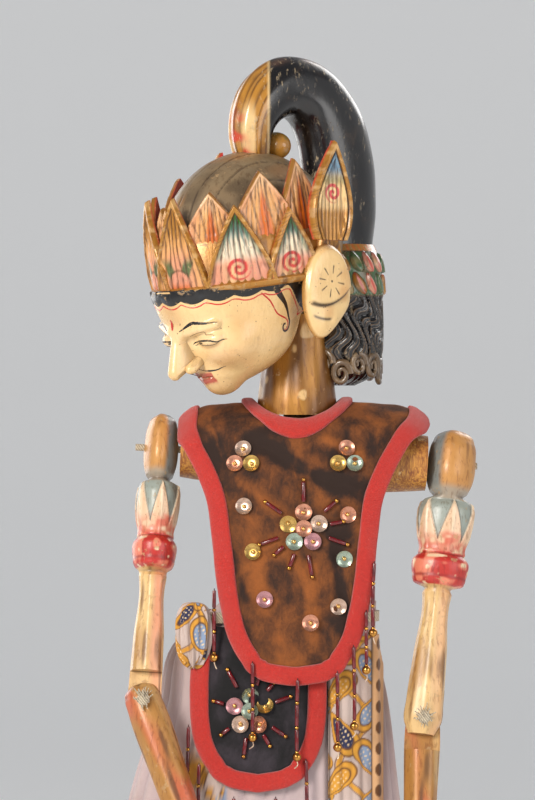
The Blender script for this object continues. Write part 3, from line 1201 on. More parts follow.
def forearm(name, arm):
    girth = arm["girth"]
    table = [
        (8.0, 0.4 * girth, 0.4 * girth), (
            6.6, 0.72 * girth, 0.72 * girth
        ), (3.4, 0.93 * girth, 0.93 * girth), (-2, girth, girth),
        (
            -31.5, 0.98 * girth, 0.98 * girth
        ), (-60, 0.84 * girth, 0.84 * girth), (-74, 0.64 * girth, 0.62 * girth),
        (
            -78.5, 0.62 * girth, 0.58 * girth
        ), (-84, 6.6, 4.2), (-91, 7.2, 3.7), (-98, 6.2, 3.0), (-103, 4.2, 2.3), (-105, 1.8, 1.2),
    ]
    table = [(z, a, b, 0, 0) for z, a, b in reversed(table)]
    levels = np.sort(np.append(np.linspace(-105, 8, 270), (-LAP - 0.02, -LAP + 0.02)))

    def carving(z, turn):
        across = np.cos(turn)
        gaps = sum(bell(across, middle, 0.07) for middle in (-0.5, 0, 0.5))
        fingers = -0.9 * gaps * rise(z, -88, -92) * np.abs(np.sin(turn))
        bangle = 1.3 * bell(z, -76.5, 1.5) + 0.5 * bell(z, -73.2, 0.7) + 0.5 * bell(z, -79.8, 0.7)
        return fingers + bangle + 0.2 * np.cos(6 * turn + 0.03 * z) * rise(z, -72, -66)

    points, z, turn = rings(table, levels, 150, carving)
    streak = lumps(points * (1, 1, 0.1), 2.0, 9)
    broad = lumps(points * (1, 1, 0.22), 6, 3)
    paint = over(plain(GOLD_BROWN, z), tint(196, 92, 62), 0.85 * rise(broad, 0.05, 0.55))
    paint = over(paint, STICK_CREAM, 0.6 * rise(-broad, 0.2, 0.7))
    paint = over(paint, tint(84, 52, 26), 0.75 * rise(streak, 0.2, 0.8))
    paint = over(paint, CREAM, 0.9 * rise(z, -80.5, -82))
    paint = over(paint, OCHRE, rise(z, -71.5, -72.5) * rise(z, -81.2, -80.2))
    paint = over(paint, RED, 0.9 * bell(z, -76.5, 0.9))
    points = lapped(points, -LAP, arm["side"], False)
    made = Carving().closed(moved(points, arm_frame(elbow_of(arm), arm["lean"], arm["fore"])), paint)
    made.piece(
        "forearm_carved_" + name, CARVED_ARM, "forearm_" + name, ["forearm_" + name], "forearm_wood",
        40
    )


def tuft(name, arm):
    """Frayed cotton where the elbow cord is knotted, on the side where the arm is bare."""
    random = np.random.default_rng(7 + arm["side"])
    made = Carving()
    place = arm_frame(elbow_of(arm), arm["lean"], 0)
    front = -max(arm["girth"], arm["stick"][1]) - 1.6
    for _ in range(46):
        way = random.normal(size=3) * (1.0, 0.45, 1.2) + (0, -0.4, 0.25)
        way /= np.linalg.norm(way)
        start = np.array((0, front, 0)) + random.normal(size=3) * 0.7
        bend = random.normal(size=3) * 0.9
        reach = random.uniform(2.2, 5.0)
        line = spline([start, start + way * reach * 0.5 + bend * 0.5, start + way * reach + bend], 9)
        made.closed(
            moved(tube(line, random.uniform(0.28, 0.5) * np.linspace(1, 0.5, 9), 6), place),
            tint(224, 208, 184)
        )
    made.piece("cord_tuft_" + name, TWINE, "upper_arm_" + name, slot="cotton_cord")


for name, arm in ARMS.items():
    upper_arm(name, arm)
    forearm(name, arm)
    tuft(name, arm)

# ---------------------------------------------------------------- tabard

CENTRE = 3.0  # the chest's middle beside the rod
# the chest's half girth, by height
CHEST = [(334, 50), (375, 56), (415, 64), (440, 66), (452, 64), (458, 61), (461, 58)]
# the tabard's line over the shoulder, from ahead to behind: (depth, height)
OVER = [(-30, 334), (-30, 375), (-29, 415), (-25.5, 440), (-20.5, 452), (-13, 458), (-5, 461), (0, 461.6)]
OVER += [(-y, z) for y, z in OVER[-2::-1]][:5]
OVER_LINE = spline([(y, z, 0) for y, z in OVER], 900)[:, :2]
OVER_KEYS = np.concatenate([[0], np.cumsum(np.linalg.norm(np.diff(OVER_LINE, axis=0), axis=1))])
OVER_KEYS -= OVER_KEYS[np.argmax(OVER_LINE[:, 1])]  # 0 on the shoulder, below 0 ahead of it
BACK_END = OVER_KEYS[-1]
BIB = [
    (-130, 0.1), (340, 0.1), (341.2, 9.5), (344, 17), (350, 22.6), (358, 27.2), (370, 30.6),
    (383, 32.8), (405, 35.2), (420, 37.6), (432, 42.5), (443, 49), (452, 52.8), (470, 53.4)
]


def cloth_over(x, s):
    """A place on the tabard from its way across and its length from the shoulder line."""
    y = np.interp(s, OVER_KEYS, OVER_LINE[:, 0])
    z = np.interp(s, OVER_KEYS, OVER_LINE[:, 1])
    girth = np.interp(z, [c[0] for c in CHEST], [c[1] for c in CHEST])
    round_it = np.sqrt(np.clip(1 - (x / girth) ** 2, 0.02, 1))
    droop = 0.0006 * x**2 * rise(z, 440, 455) + 0.035 * np.clip(
        np.abs(x) - 40, 0, None
    ) ** 2 * rise(z, 436, 456)
    return np.stack([CENTRE + x, y * round_it, z - droop], -1)


def crease(x, z, start, end, width):
    """How near a place is to a fold's line, from 0 to 1."""
    start, way = np.array(start, float), np.subtract(end, start)
    share = np.clip(((x - start[0]) * way[0] + (z - start[1]) * way[1]) / (way @ way), 0, 1)
    gap = np.hypot(x - start[0] - share * way[0], z - start[1] - share * way[1])
    return np.exp(-((gap / width) ** 2)) * rise(share, -0.02, 0.15) * rise(share, 1.02, 0.8)


FOLDS = [
    ((-26, 447), (2, 431), 3.0, -1.1), ((2, 431), (30, 421), 3.2, -0.9), ((12, 402), (20, 358), 2.6, -1.0),
    ((-30, 430), (-10, 412), 3.0, 0.7), ((6, 447), (28, 436), 2.6, 0.8), ((-22, 405), (-16, 366), 3.4, 0.7),
    ((2, 395), (4, 352), 3.2, 0.8), ((24, 410), (30, 380), 2.4, 0.7), ((-34, 400), (-24, 372), 2.2, -0.6),
]


def cloth_lift(x, s, z):
    """Creases and the slack of the velvet, outward in millimetres."""
    out = sum(depth * crease(x, z, start, end, width) for start, end, width, depth in FOLDS)
    out = np.where(s < 0, out, 0.8 * np.sin(x * 0.16 + 0.05 * s) * rise(s, 4, 20))
    place = flat(x, s)
    return out + 0.5 * lumps(place, 16, 1) + 0.18 * lumps(place, 5, 2)


def on_tabard(x, s):
    """A place on the creased velvet, and the way out of it."""
    x, s = np.broadcast_arrays(np.asarray(x, float), np.asarray(s, float))
    here, step = cloth_over(x, s), 0.4
    across = cloth_over(x + step, s) - cloth_over(x - step, s)
    up = cloth_over(x, s + step) - cloth_over(x, s - step)
    out = np.cross(across, up)
    out /= np.linalg.norm(out, axis=-1, keepdims=True) + 1e-9
    return here + out * cloth_lift(x, s, here[..., 2])[..., None], out


def bib_half(s):
    z = np.interp(s, OVER_KEYS, OVER_LINE[:, 1])
    ahead = along(BIB, z)[..., 0]
    behind = 53.2 - 18 * rise(s, 5, BACK_END - 6)
    behind = behind - 9 * (1 - np.sqrt(np.clip(1 - np.clip((s - BACK_END + 9) / 9, 0, 1) ** 2, 0, 1)))
    return np.where(s < 0, ahead, behind) - 1.1 * bell(z, 447, 8)


def bib_middle(s):
    """How far the bib's middle is from the chest's, to the puppet's right."""
    return -4.2 * rise(-s, 8, 40)


FOOT = np.interp(340.2, OVER_LINE[:400, 1], OVER_KEYS[:400])
ways = np.linspace(0, 1, 260)
lengths = FOOT + (BACK_END - FOOT) * (0.35 * ways**1.7 + 0.65 * ways)
u, s = np.meshgrid(np.linspace(-1, 1, 190), lengths)
x = u * bib_half(s) + bib_middle(s)
points, out = on_tabard(x, s)
hollow = lumps(flat(x, s), 9, 4)
nap = 0.5 + 0.5 * np.clip(1.5 * (cloth_lift(x, s, points[..., 2])), -1, 1) * 0.8 + 0.2 * hollow
paint = np.concatenate([np.ones(x.shape + (3,)) * (1.0, 0.98, 0.94), np.clip(nap, 0, 1)[..., None]], -1)
NECK_HOLE, NECK_LEVEL = 19.6, 440  # radius, and the height it is cut above


def thickened(piece, thick, offset=0):
    shell = piece.modifiers.new("thickness", "SOLIDIFY")
    shell.thickness, shell.offset = thick * MM, offset
    return piece


def cut_neck(made, hole):
    """Opens a round hole for the neck in a sheet's only grid and draws its rim to a circle."""
    places = made.points[0]
    radius = np.hypot(places[:, 0], places[:, 1])
    inside = (radius < hole) & (places[:, 2] > NECK_LEVEL)
    kept = made.faces[0][~inside[made.faces[0]].all(1)]
    used = np.unique(kept)
    out_by = hole / np.maximum(radius[used], 1)
    drawn = places[used] * np.stack([out_by, out_by, 1 + 0 * used], -1)
    number = np.full(len(radius), -1)
    number[used] = np.arange(len(used))
    made.points[0] = np.where(inside[used][:, None], drawn, places[used])
    made.paint[0], made.faces[0] = made.paint[0][used], number[kept]
    return made


def facing_out(piece):
    """Turns a sheet's faces if the ones ahead look backward, so that it thickens inward."""
    mesh = piece.data
    front = [p for p in list(mesh.polygons)[::97] if p.center.y < -0.018]
    if sum(p.normal.y for p in front) > 0:
        mesh.flip_normals()
    return piece


tabard = cut_neck(Carving().grid(points, paint), NECK_HOLE)
tabard = tabard.piece("tabard_velvet", BROWN_VELVET, "torso", ["tabard"], "brown_velvet")
tabard = facing_out(thickened(tabard, 1.4, -1.0))


def felt_section(tall, sunk):
    """Round a felt strip: the share of its width and the height off the cloth."""
    for angle in circle(14):
        share = 0.5 - 0.5 * np.sign(np.cos(angle)) * abs(np.cos(angle)) ** 0.7
        high = tall * np.sign(np.sin(angle)) * abs(np.sin(angle)) ** 0.55
        yield share, sunk + (high if high > 0 else sunk * high)


def edging(route, inward, width, lay, tall=1.5):
    """A felt strip along an edge: lay gives the place and the way out for flat places."""
    ring = []
    for share, height in felt_section(tall, 0.35):
        across = route + inward * (width * share - 0.8)
        place, out = lay(across[:, 0], across[:, 1])
        ring.append(place + out * height)
    return np.stack(ring, 1)


def flat_inward(route):
    """The way in from a closed flat outline that runs clockwise or not."""
    way = np.roll(route, -1, 0) - np.roll(route, 1, 0)
    way /= np.linalg.norm(way, axis=1)[:, None] + 1e-9
    side = np.stack([-way[:, 1], way[:, 0]], -1)
    middle = route.mean(0)
    return side if ((middle - route) * side).sum() > 0 else -side


def looped(strip, colour):
    """A strip that closes on itself."""
    return Carving().grid(np.concatenate([strip, strip[:1]]), colour, wrap=True)


levels = np.concatenate([np.linspace(FOOT, -60, 260), np.linspace(-60, BACK_END, 200)[1:]])
half, middle = bib_half(levels), bib_middle(levels)
right, left = np.stack([middle + half, levels], -1), np.stack([middle - half, levels], -1)
bottom = np.stack([np.linspace(half[-1], -half[-1], 130)[1:-1], np.full(128, BACK_END)], -1)
outline = np.concatenate([right, bottom, left[::-1]])
outline = spline(np.column_stack([outline, np.zeros(len(outline))]), 1500)[:, :2]
inward = flat_inward(outline)
inward = smoothed(inward, "wrap")
felt_red = tint(214, 44, 32)
TABARD_FELT, APRON_FELT = 8.3, 8.0  # widths of the trim
trim = looped(edging(outline, inward, TABARD_FELT, on_tabard), felt_red)

# the collar dips to a point ahead
turn = circle(260)
dip = bell(np.abs((turn + np.pi / 2 + np.pi) % (2 * np.pi) - np.pi), 0, 0.42)


def on_collar(angle, radius):
    """A place on the tabard at this radius round the neck."""
    x, y = radius * np.cos(angle), radius * np.sin(angle)
    s = np.zeros_like(x)
    for _ in range(14):
        place, _ = on_tabard(x - CENTRE, s)
        s = s + 0.7 * (y - place[..., 1])
    return on_tabard(x - CENTRE, s)


ring = []
for share, height in felt_section(1.9, 0.3):
    place, out = on_collar(turn, 18.9 + (5.6 - 0.7 * dip) * share)
    ring.append(place + out * height)
collar = looped(np.stack(ring, 1), felt_red)
trim_piece = trim.piece("tabard_felt_trim", RED_FELT, "torso", ["tabard_trim"], "red_felt", 70)
collar_piece = collar.piece("collar_felt_trim", RED_FELT, "torso", ["collar_trim"], "red_felt", 70)

# ---------------------------------------------------------------- sequins and beads

BRASS = tint(206, 150, 62, 1.0)
BUGLE = tint(108, 12, 20)
SEQUIN_TINTS = [
    tint(196, 168, 150, 0.75), tint(206, 146, 120, 0.8), tint(196, 160, 92, 0.9),
    tint(160, 176, 160, 0.75), tint(186, 136, 140, 0.7),
]


def aligned(out):
    """Three axes whose last is the way out."""
    out = out / np.linalg.norm(out)
    across = np.cross((0, 0, 1), out)
    across /= np.linalg.norm(across)
    return np.stack([across, np.cross(out, across), out])


def sequin(carving, place, out, colour, radius=3.6, tip=(0, 0)):
    """A cupped disc with a hole, held by a seed bead."""
    axes = aligned(out + np.array((tip[0], 0, tip[1])))
    turn = circle(30)
    section = [
        (0.55, 0.0), (1.3, -0.02), (2.2, 0.14), (3.0, 0.5), (radius, 0.92), (radius, 0.74),
        (3.0, 0.32), (2.2, -0.04), (1.3, -0.2), (0.55, -0.18)
    ]
    rows = np.array([[(r * np.cos(a), r * np.sin(a), h) for a in turn] for r, h in section])
    rows = np.concatenate([rows, rows[:1]])
    carving.grid(place + out * 0.3 + rows @ axes, colour, wrap=True)
    carving.closed(ball(place + out * 0.75, 0.95, 8, 12), over(BRASS, tint(250, 226, 170, 1), 0.3))


def bugle(carving, start, end, radius=0.9):
    """A glass tube bead between seed beads."""
    start, end = np.array(start, float), np.array(end, float)
    way = (end - start) / np.linalg.norm(end - start)
    inner = [start + way * 0.9, start + way * 1.3, end - way * 1.3, end - way * 0.9]
    carving.closed(tube(np.array(inner), np.array((0.8, 1, 1, 0.8)) * radius, 10), BUGLE)


def strand(carving, place, length, seed):
    """Bugles and brass seeds on a thread, a brass ball and the thread's tail."""
    random = np.random.default_rng(seed)
    count = max(2, round(length / 9.5))
    sway = random.normal(size=2) * 0.35
    x, y, z = place
    shape = [
        (x + sway[0] * np.sin(t * 2.2), y + 0.3 * t, z - length * t) for t in np.linspace(0, 1, 8)
    ]
    line = spline(shape, count + 1)
    carving.closed(tube(spline(shape, 24), 0.25, 6), tint(60, 20, 20))
    for start, end in zip(line, line[1:]):
        bugle(carving, start, end, 0.85)
        carving.closed(ball(end, 0.95, 7, 10), BRASS)
    carving.closed(ball(line[-1] - (0, 0, 1.9), 2.0, 12, 16), BRASS)
    tail = line[-1] - (0, 0, 3.6)
    ends = [tail, tail + (0.4, 0, -1.6), tail + (random.normal() * 0.8, -0.2, -3.2)]
    carving.closed(tube(spline(ends, 8), 0.28, 6), tint(224, 200, 170))


def flower(sequins, beads, lay, x, z, rays, seed):
    """Five sequins round a raised one, in a star of bugles with brass ends."""
    random = np.random.default_rng(seed)
    for index in range(5):
        turn = math.radians(90 + 72 * index)
        place, out = lay(x + 6.9 * math.cos(turn), z + 6.9 * math.sin(turn))
        sequin(sequins, place, out, SEQUIN_TINTS[(index + seed) % 5], 3.7, random.normal(size=2) * 0.16)
    place, out = lay(x, z)
    sequin(sequins, place + out * 1.1, out, SEQUIN_TINTS[seed % 5], 3.6, (0.1, 0.05))
    for angle, far in rays:
        way = math.radians(angle)
        ends = []
        for reach in (10.6, far):
            place, out = lay(x + reach * math.cos(way), z + reach * math.sin(way))
            ends.append(place + out * 1.1)
        bugle(beads, ends[0], ends[1])
        beads.closed(ball(ends[1], 1.0, 8, 12), BRASS)


def bib_place(x, z):
    """A place on the bib's front beside the chest's middle, at this height."""
    keys, line_z = OVER_KEYS[OVER_KEYS < 0], OVER_LINE[OVER_KEYS < 0, 1]
    place, out = on_tabard(x, np.interp(z, line_z, keys))
    return place, out


TRIADS = [(-26.5, 437.0), (18.0, 437.0)]
SINGLES = [
    (-26.0, 416.5), (18.5, 413.0), (-22.0, 397.0), (17.0, 394.0), (-17.0, 376.5), (14.5, 373.5),
    (2.5, 366.5)
]
sequins, beads = Carving(), Carving()
for index, (x, z) in enumerate(SINGLES):
    place, out = bib_place(x, z)
    sequin(
        sequins, place, out, SEQUIN_TINTS[index % 5],
        tip=(0.12 * math.sin(index * 2), 0.12 * math.cos(index * 3))
    )
for number, (x, z) in enumerate(TRIADS):
    for index, angle in enumerate((90, 210, 330)):
        way = math.radians(angle)
        place, out = bib_place(x + 4.2 * math.cos(way), z + 4.2 * math.sin(way))
        sequin(
            sequins, place, out, SEQUIN_TINTS[(index + number) % 5],
            tip=(0.1 * math.sin(index * 2 + number), 0.1)
        )
BIB_RAYS = [
    (90, 21), (145, 20), (40, 18.5), (200, 20), (222, 17), (250, 18), (280, 21), (-20, 20),
    (10, 17.5)
]
flower(sequins, beads, bib_place, -0.5, 407.0, BIB_RAYS, 1)
BIB_STRANDS = [
    (-39, 381, 353), (-22.5, 350, 319), (-3, 343, 311), (14, 346, 315), (21, 357, 324),
    (26.5, 372, 348), (30, 393, 364)
]
for index, (x, top, foot) in enumerate(BIB_STRANDS):
    place, out = bib_place(x, max(top, 343))
    strand(beads, (CENTRE + x, place[1] - 3.2, top), top - foot, 20 + index)
sequin_piece = sequins.piece(
    "tabard_sequins_cupped", SEQUIN_FOIL, "torso", ["tabard_sequins"], "sequins", 60
)
bead_piece = beads.piece("tabard_bead_strands", BEAD_GLASS, "torso", ["tabard_beads"], "glass_beads", 60)

# ---------------------------------------------------------------- skirt, panel and apron

SKIRT = [
    (52, 90, 43, -4, 0), (120, 84, 38, -8, 0), (225, 70, 31, -14, 0), (286, 60, 27, -14.5, 0),
    (330, 50.5, 24, -10.5, 0), (357, 44, 21, -9, 0), (374, 34, 19, 1, 0),
]
HEM, WAIST = 52.0, 374.0
MAUVE = tint(196, 178, 180)


def gathers(z, turn):
    """Folds that hang from the waist, always inward of the cloth's outer line."""
    deep = 1.0 + 4.2 * rise(z, WAIST - 10, HEM + 60)
    wander = 1.3 * np.sin(2 * turn + 0.012 * z) + 0.9 * np.sin(3 * turn - 0.009 * z + 1)
    folds = np.sin(15 * turn + wander + 0.004 * z)
    narrow = np.sin(37 * turn + 2.2 * wander + 0.018 * z + 2)
    sharp = 1 - np.abs(folds) ** 0.7
    pinch = bell(z, 366, 7)
    small = 0.2 * (1 - narrow) * (0.4 + 0.6 * rise(z, 200, 340))
    depth = deep * (0.75 * sharp + small + 0.12 * (1 - np.sin(6 * turn + 1)))
    return -depth - 0.8 * pinch * (1 + np.sin(44 * turn + wander))


def skirt_place(turn, z, out=0.0, folds=1.0):
    half_x, half_y, x, y = np.moveaxis(along(SKIRT, z), -1, 0)
    push = out + folds * gathers(z, turn)
    return np.stack(
        [x + (half_x + push) * np.cos(turn), y + (half_y + push) * np.sin(turn), z + 0 * turn], -1
    )


def turn_at(x, z, out):
    """The way round the skirt's front to a place across it."""
    half_x, _, middle, _ = np.moveaxis(along(SKIRT, z), -1, 0)
    return -np.arccos(np.clip((x - middle) / (half_x + out), -0.995, 0.995))


def on_skirt(x, z, out):
    """A place on the smooth front of the skirt, a distance outside it, and the way out."""
    x, z = np.broadcast_arrays(np.asarray(x, float), np.asarray(z, float))
    place = skirt_place(turn_at(x, z, out), z, out, 0.0)
    step = 0.5
    across = skirt_place(
        turn_at(x + step, z, out), z, out, 0.0
    ) - skirt_place(turn_at(x - step, z, out), z, out, 0.0)
    up = skirt_place(
        turn_at(x, z + step, out), z + step, out, 0.0
    ) - skirt_place(turn_at(x, z - step, out), z - step, out, 0.0)
    way = np.cross(across, up)
    return place, way / (np.linalg.norm(way, axis=-1, keepdims=True) + 1e-9)


# a generic wax-resist print: drops, leaves and winding stems on a pale ground
GROUND = tint(206, 188, 180)
AMBER = tint(222, 160, 56)
BROWN_LINE = tint(110, 70, 36)
SKY = tint(140, 160, 190)
NAVY = tint(44, 48, 84)


def drop_shape(x, z, long, wide, lean):
    """Signed size of a leaning drop: below 1 inside."""
    turn = math.radians(lean)
    across, up = x * math.cos(turn) + z * math.sin(turn), -x * math.sin(turn) + z * math.cos(turn)
    taper = np.clip(0.62 - 0.42 * up / long, 0.08, 1)
    return np.hypot(across / (wide * taper), up / long), across, up


def batik(x, z):
    """The printed colour at places in millimetres on the flat cloth."""
    paint = over(plain(GROUND, x), tint(186, 160, 150), 0.3 * rise(lumps(flat(x, z), 9, 1), 0, 0.8))
    stem = x - 6.5 * np.sin(z * 0.16)
    paint = over(paint, AMBER, rise(np.abs(stem), 1.5, 1.1))
    paint = over(paint, BROWN_LINE, bell(np.abs(stem), 1.7, 0.28))
    repeat = 39.0
    motifs = [
        (-5, 6, 11, 7.2, 28, NAVY), (7, 15, 10, 6.4, -32, SKY), (
            -7, 24, 10.5, 6.6, 140, AMBER
        ), (6, 33, 10, 6.6, 205, SKY),
        (13, 3, 6, 4.2, 70, AMBER), (
            -14, 15, 6.5, 4.4, -60, SKY
        ), (15, 24, 6, 4, 110, NAVY), (-13, 35, 6, 4.2, 20, AMBER),
    ]
    for mid_x, mid_z, long, wide, lean, fill in motifs:
        local = (z - mid_z + repeat / 2) % repeat - repeat / 2
        far, across, up = drop_shape(x - mid_x, local, long, wide, lean)
        inside = over(
            plain(fill, x), CREAM_PALE,
            rise(
                np.hypot((across + 20) % 1.9 - 0.95, (up + 20) % 1.9 - 0.95), 0.5, 0.3
            ) * rise(far, 0.62, 0.5)
        )
        inside = over(inside, AMBER, rise(far, 0.66, 0.72))
        inside = over(inside, BROWN_LINE, bell(far, 0.68, 0.045) + bell(far, 0.98, 0.05))
        paint = over(paint, inside, rise(far, 1.03, 0.99))
    return paint


turn, z = np.meshgrid(np.linspace(0, 2 * np.pi, 481), np.linspace(HEM, WAIST, 84))
points = skirt_place(turn, z)
points[..., 2] += 1.2 * np.sin(15 * turn + 1) * rise(z, HEM + 30, HEM)
depth = gathers(z, turn)
paint = over(plain(MAUVE, z), tint(150, 128, 132), 0.55 * rise(-depth, 1.2, 4.5))
paint = over(paint, tint(206, 186, 182), 0.4 * rise(-depth, 1.4, 0.3))
paint = over(paint, tint(176, 148, 128), 0.35 * rise(lumps(points, 34, 2), 0.1, 0.8))
paint = over(paint, tint(150, 140, 150), 0.8 * bell(z, HEM + 7, 0.5))
print_edge = rise(
    points[..., 0], -51, -50
) * rise(points[..., 0], -30, -31) * (points[..., 1] < 0) * rise(z, 309, 307)
paint = over(paint, batik(points[..., 0] + 40, z), print_edge)
skirt_piece = Carving().grid(points, paint).piece(
    "skirt_cotton", COTTON, "torso", ["skirt"], "mauve_cotton", 80
)
thickened(skirt_piece, 0.7)


low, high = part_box("front_panel")
x, z = np.meshgrid(np.linspace(low.x / MM + 0.5, 37.0, 78), np.linspace(low.z / MM, high.z / MM - 4, 560))
ripple = 0.5 * np.sin(x * 0.7 + 0.01 * z) + 0.35 * np.sin(x * 1.5 + 1 + 0.02 * z)
points, out = on_skirt(x, z, 0.6)
points += out * (0.9 + ripple)[..., None]
paint = batik(x - 24, z)
strip = rise(x, 31.6, 32.0)
paint = over(
    paint,
    over(
        plain(tint(226, 178, 130), x), BROWN_LINE,
        rise(np.hypot((x - 34.4) / 1.5, (z % 9 - 4.5) / 3.0), 1.0, 0.8)
    ),
    strip
)
paint = over(paint, tint(40, 28, 30), 0.85 * (bell(x, 31.8, 0.35) + bell(x, 13.4, 0.4)))
panel = Carving().grid(points, paint)


def cloth_piece(made, name, material, stands_for, slot, thick=0.8):
    return thickened(made.piece(name, material, "torso", stands_for, slot, 80), thick)


panel_piece = cloth_piece(panel, "front_panel_print", COTTON, ["front_panel"], "printed_cotton")


def apron_half(z):
    """Half width of the apron's rounded tongue."""
    table = [
        (200, 0.1), (294, 0.1), (295.4, 9), (298, 15.7), (304, 21.5), (313, 26.2), (322, 27.9),
        (334, 28.5), (363.5, 27.1), (400, 27.1)
    ]
    return along(table, z)[..., 0]


APRON_MIDDLE, APRON_FOOT, APRON_TOP = -17.0, 294.2, 363.5
u, z = np.meshgrid(
    np.linspace(-1, 1, 130), APRON_FOOT + (APRON_TOP - APRON_FOOT) * np.linspace(0, 1, 130) ** 1.5
)


def on_apron(x, z, lift=0.0):
    place, out = on_skirt(x, z, 2.1)
    wave = 0.35 * np.sin(0.11 * z + 0.2 * x) + 0.25 * lumps(flat(x, z), 9, 6)
    return place + out * (wave + lift)[..., None], out


x = APRON_MIDDLE + u * apron_half(z)
points, _ = on_apron(x, z, 0 * x)
paint = np.concatenate([np.ones(x.shape + (3,)), 0.4 + 0.3 * lumps(points, 8, 2)[..., None]], -1)
apron_piece = cloth_piece(
    Carving().grid(points, paint), "apron_velvet", BLACK_VELVET, ["apron"], "black_velvet", 1.2
)

levels = APRON_FOOT + (APRON_TOP - APRON_FOOT) * np.linspace(0, 1, 400) ** 1.5
edge = np.stack([APRON_MIDDLE + apron_half(levels), levels], -1)
route = np.concatenate([edge[::-1], (edge * (-1, 1) + (2 * APRON_MIDDLE, 0))[1:]])
route = spline(np.column_stack([route, np.zeros(len(route))]), 900)[:, :2]
way = np.gradient(route, axis=0)
side = np.stack([-way[:, 1], way[:, 0]], -1) / np.linalg.norm(way, axis=1)[:, None]
side = side if ((np.array((APRON_MIDDLE, 335)) - route) * side).sum() > 0 else -side
side = smoothed(side, "edge")
apron_trim = Carving().closed(
    edging(route, side, APRON_FELT, lambda x, z: on_apron(x, z, 0.5 + 0 * x), 1.4), felt_red
)
apron_trim_piece = apron_trim.piece("apron_felt_trim", RED_FELT, "torso", ["apron_trim"], "red_felt", 70)

sequins, beads = Carving(), Carving()
APRON_RAYS = [
    (20, 18.5), (50, 16), (75, 17.5), (118, 20), (165, 16), (220, 16), (262, 19.5), (300, 17),
    (325, 18.5)
]
flower(
    sequins, beads, lambda x, z: on_apron(x, z, np.asarray(0.7)), APRON_MIDDLE - 3.5, 328.0,
    APRON_RAYS, 3
)
APRON_STRANDS = [(-47.2, 322, 290), (-42.5, 306, 276), (-27.5, 292, 270), (-9.5, 292, 268), (3.5, 308, 276)]
for index, (x, top, foot) in enumerate(APRON_STRANDS):
    place, out = on_apron(x, top, np.asarray(0.0))
    strand(beads, (x, place[1] - 3.4, top), top - foot, 40 + index)
apron_sequin_piece = sequins.piece(
    "apron_sequins_cupped", SEQUIN_FOIL, "torso", ["apron_sequins"], "sequins", 60
)
apron_bead_piece = beads.piece(
    "apron_bead_strands", BEAD_GLASS, "torso", ["apron_beads"], "glass_beads", 60
)

# the bunched end of the printed cloth at the hip
far, turn = np.meshgrid(np.linspace(0, 1, 130), circle(220), indexing="ij")
low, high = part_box("hip_knot")
middle = np.array([(a + b) / 2 / MM for a, b in zip(low, high)])
size = np.array([(b - a) / 2 / MM for a, b in zip(low, high)])
pleats = 0.07 * np.sin(turn * 9 + 5 * far) * np.sin(np.pi * far) + 0.05 * np.sin(turn * 17 - 4 * far)
profile = np.sin(np.pi * np.clip(far, 0.02, 0.98)) ** 0.62 * (1 - 0.22 * far) + pleats * rise(far, 0, 0.2)
points = middle + size * np.stack(
    [profile * np.cos(turn), profile * np.sin(turn), 1.02 * np.cos(np.pi * far)], -1
)
points[..., 2] += 1.4 * np.sin(turn * 5) * rise(far, 0.4, 1)
paint = batik((turn * 9 + far * 10) % 30 - 15, far * 38 + 6 * np.sin(turn))
paint = over(paint, tint(120, 96, 84), 0.5 * rise(-pleats, 0.03, 0.1))
knot_piece = Carving().closed(points, paint).piece(
    "hip_bunch_print", COTTON, "torso", ["hip_knot"], "printed_cotton", 80
)


# ---------------------------------------------------------------- what is kept from the frame


def repaint(names, material):
    """A better finish on pieces whose shape is already right."""
    for name in names:
        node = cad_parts[name]
        node.data.materials.clear()
        node.data.materials.append(material)


repaint(["torso"], BODY_WOOD)
repaint(["central_rod", "arm_rod_left", "arm_rod_right"], ROD_WOOD)
repaint(
    [
        "shoulder_cord", "elbow_cord_left", "elbow_cord_right", "hand_tie_left", "hand_tie_right",
        "waist_cord"
    ],
    TWINE
)

# ---------------------------------------------------------------- what each cloth was cut to


# ---------------------------------------------------------------- floor, light and camera


# the studio floor and the low wall it curves into, all round: (radius, height) in metres
BOWL = [
    (0.001, 0), (1.0, 0), (4.0, 0), (4.6, 0.05), (5.1, 0.2), (5.5, 0.5), (5.8, 1.0), (5.95, 1.8),
    (6.0, 4.0)
]


FLOOR_GAP = 0.0005
SUBJECT = (0, 0, 0.45)  # where the lamps point
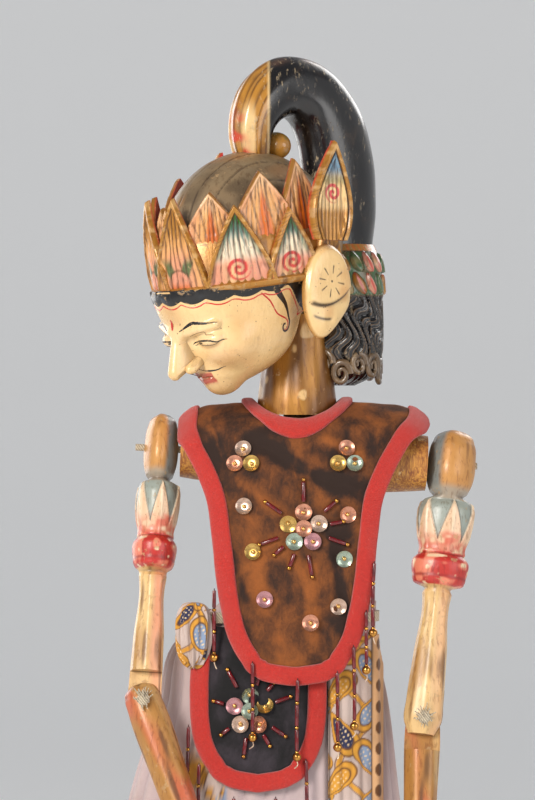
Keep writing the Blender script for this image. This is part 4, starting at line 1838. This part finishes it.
# name, place, size, power and colour of each lamp
WARM, NEAR_WHITE = (1.0, 0.95, 0.88), (1.0, 0.98, 0.96)
LAMPS = [
    ("key", (-0.75, -1.25, 1.0), 0.5, 21, WARM), ("fill", (1.2, -1.0, 0.7), 0.9, 7, NEAR_WHITE),
    ("rim", (0.7, 1.0, 1.2), 0.7, 6, NEAR_WHITE), ("back_fill", (-0.9, 1.1, 0.7), 0.9, 6, NEAR_WHITE),
]
EYE, LENS, SENSOR = (-0.013, -1.3, 0.4624), 132.8, 36  # metres, and millimetres for the last two


def studio():
    """A plain pale floor with a curved wall, soft light and the camera."""
    scene = bpy.context.scene
    floor_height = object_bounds()[0][2] - FLOOR_GAP
    turn = circle(96)
    bowl = [[(r * np.cos(a), r * np.sin(a), floor_height + z) for a in turn] for r, z in BOWL]
    sweep = Carving().grid(np.array(bowl) / MM, plain(CREAM_PALE, np.zeros((len(BOWL), 96))), wrap=True)
    floor = bpy.data.materials.new("studio_floor")
    floor.use_nodes = True
    finish = floor.node_tree.nodes["Principled BSDF"].inputs
    finish["Base Color"].default_value = (0.74, 0.735, 0.72, 1)
    finish["Roughness"].default_value = 0.8
    finish["Emission Color"].default_value = (0.95, 0.97, 1.0, 1)
    finish["Emission Strength"].default_value = 0.24
    mesh = bpy.data.meshes.new("studio_floor")
    mesh.from_pydata((sweep.points[0] * MM).tolist(), [], sweep.faces[0].tolist())
    mesh.materials.append(floor)
    mesh.shade_smooth()
    made = bpy.data.objects.new("studio_floor", mesh)
    scene.collection.objects.link(made)
    made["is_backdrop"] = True
    for name, place, across, power, colour in LAMPS:
        lamp = bpy.data.lights.new(name, "AREA")
        lamp.size, lamp.energy, lamp.color = across, power, colour
        lamp_object = bpy.data.objects.new(name, lamp)
        lamp_object.location = place
        way = Vector(SUBJECT) - Vector(place)
        lamp_object.rotation_euler = way.to_track_quat("-Z", "Y").to_euler()
        scene.collection.objects.link(lamp_object)
    world = bpy.data.worlds.new("studio")
    world.use_nodes = True
    sky = world.node_tree.nodes["Background"].inputs
    sky["Color"].default_value, sky["Strength"].default_value = (0.92, 0.94, 1.0, 1), 0.24
    scene.world = world
    scene.view_settings.view_transform = "Standard"
    camera = bpy.data.cameras.new("camera")
    camera.sensor_fit = "VERTICAL"
    camera.sensor_height, camera.lens = SENSOR, LENS
    camera_object = bpy.data.objects.new("camera", camera)
    camera_object.location = EYE
    camera_object.rotation_euler = (math.pi / 2, 0, 0)
    scene.collection.objects.link(camera_object)
    scene.camera = camera_object


studio()
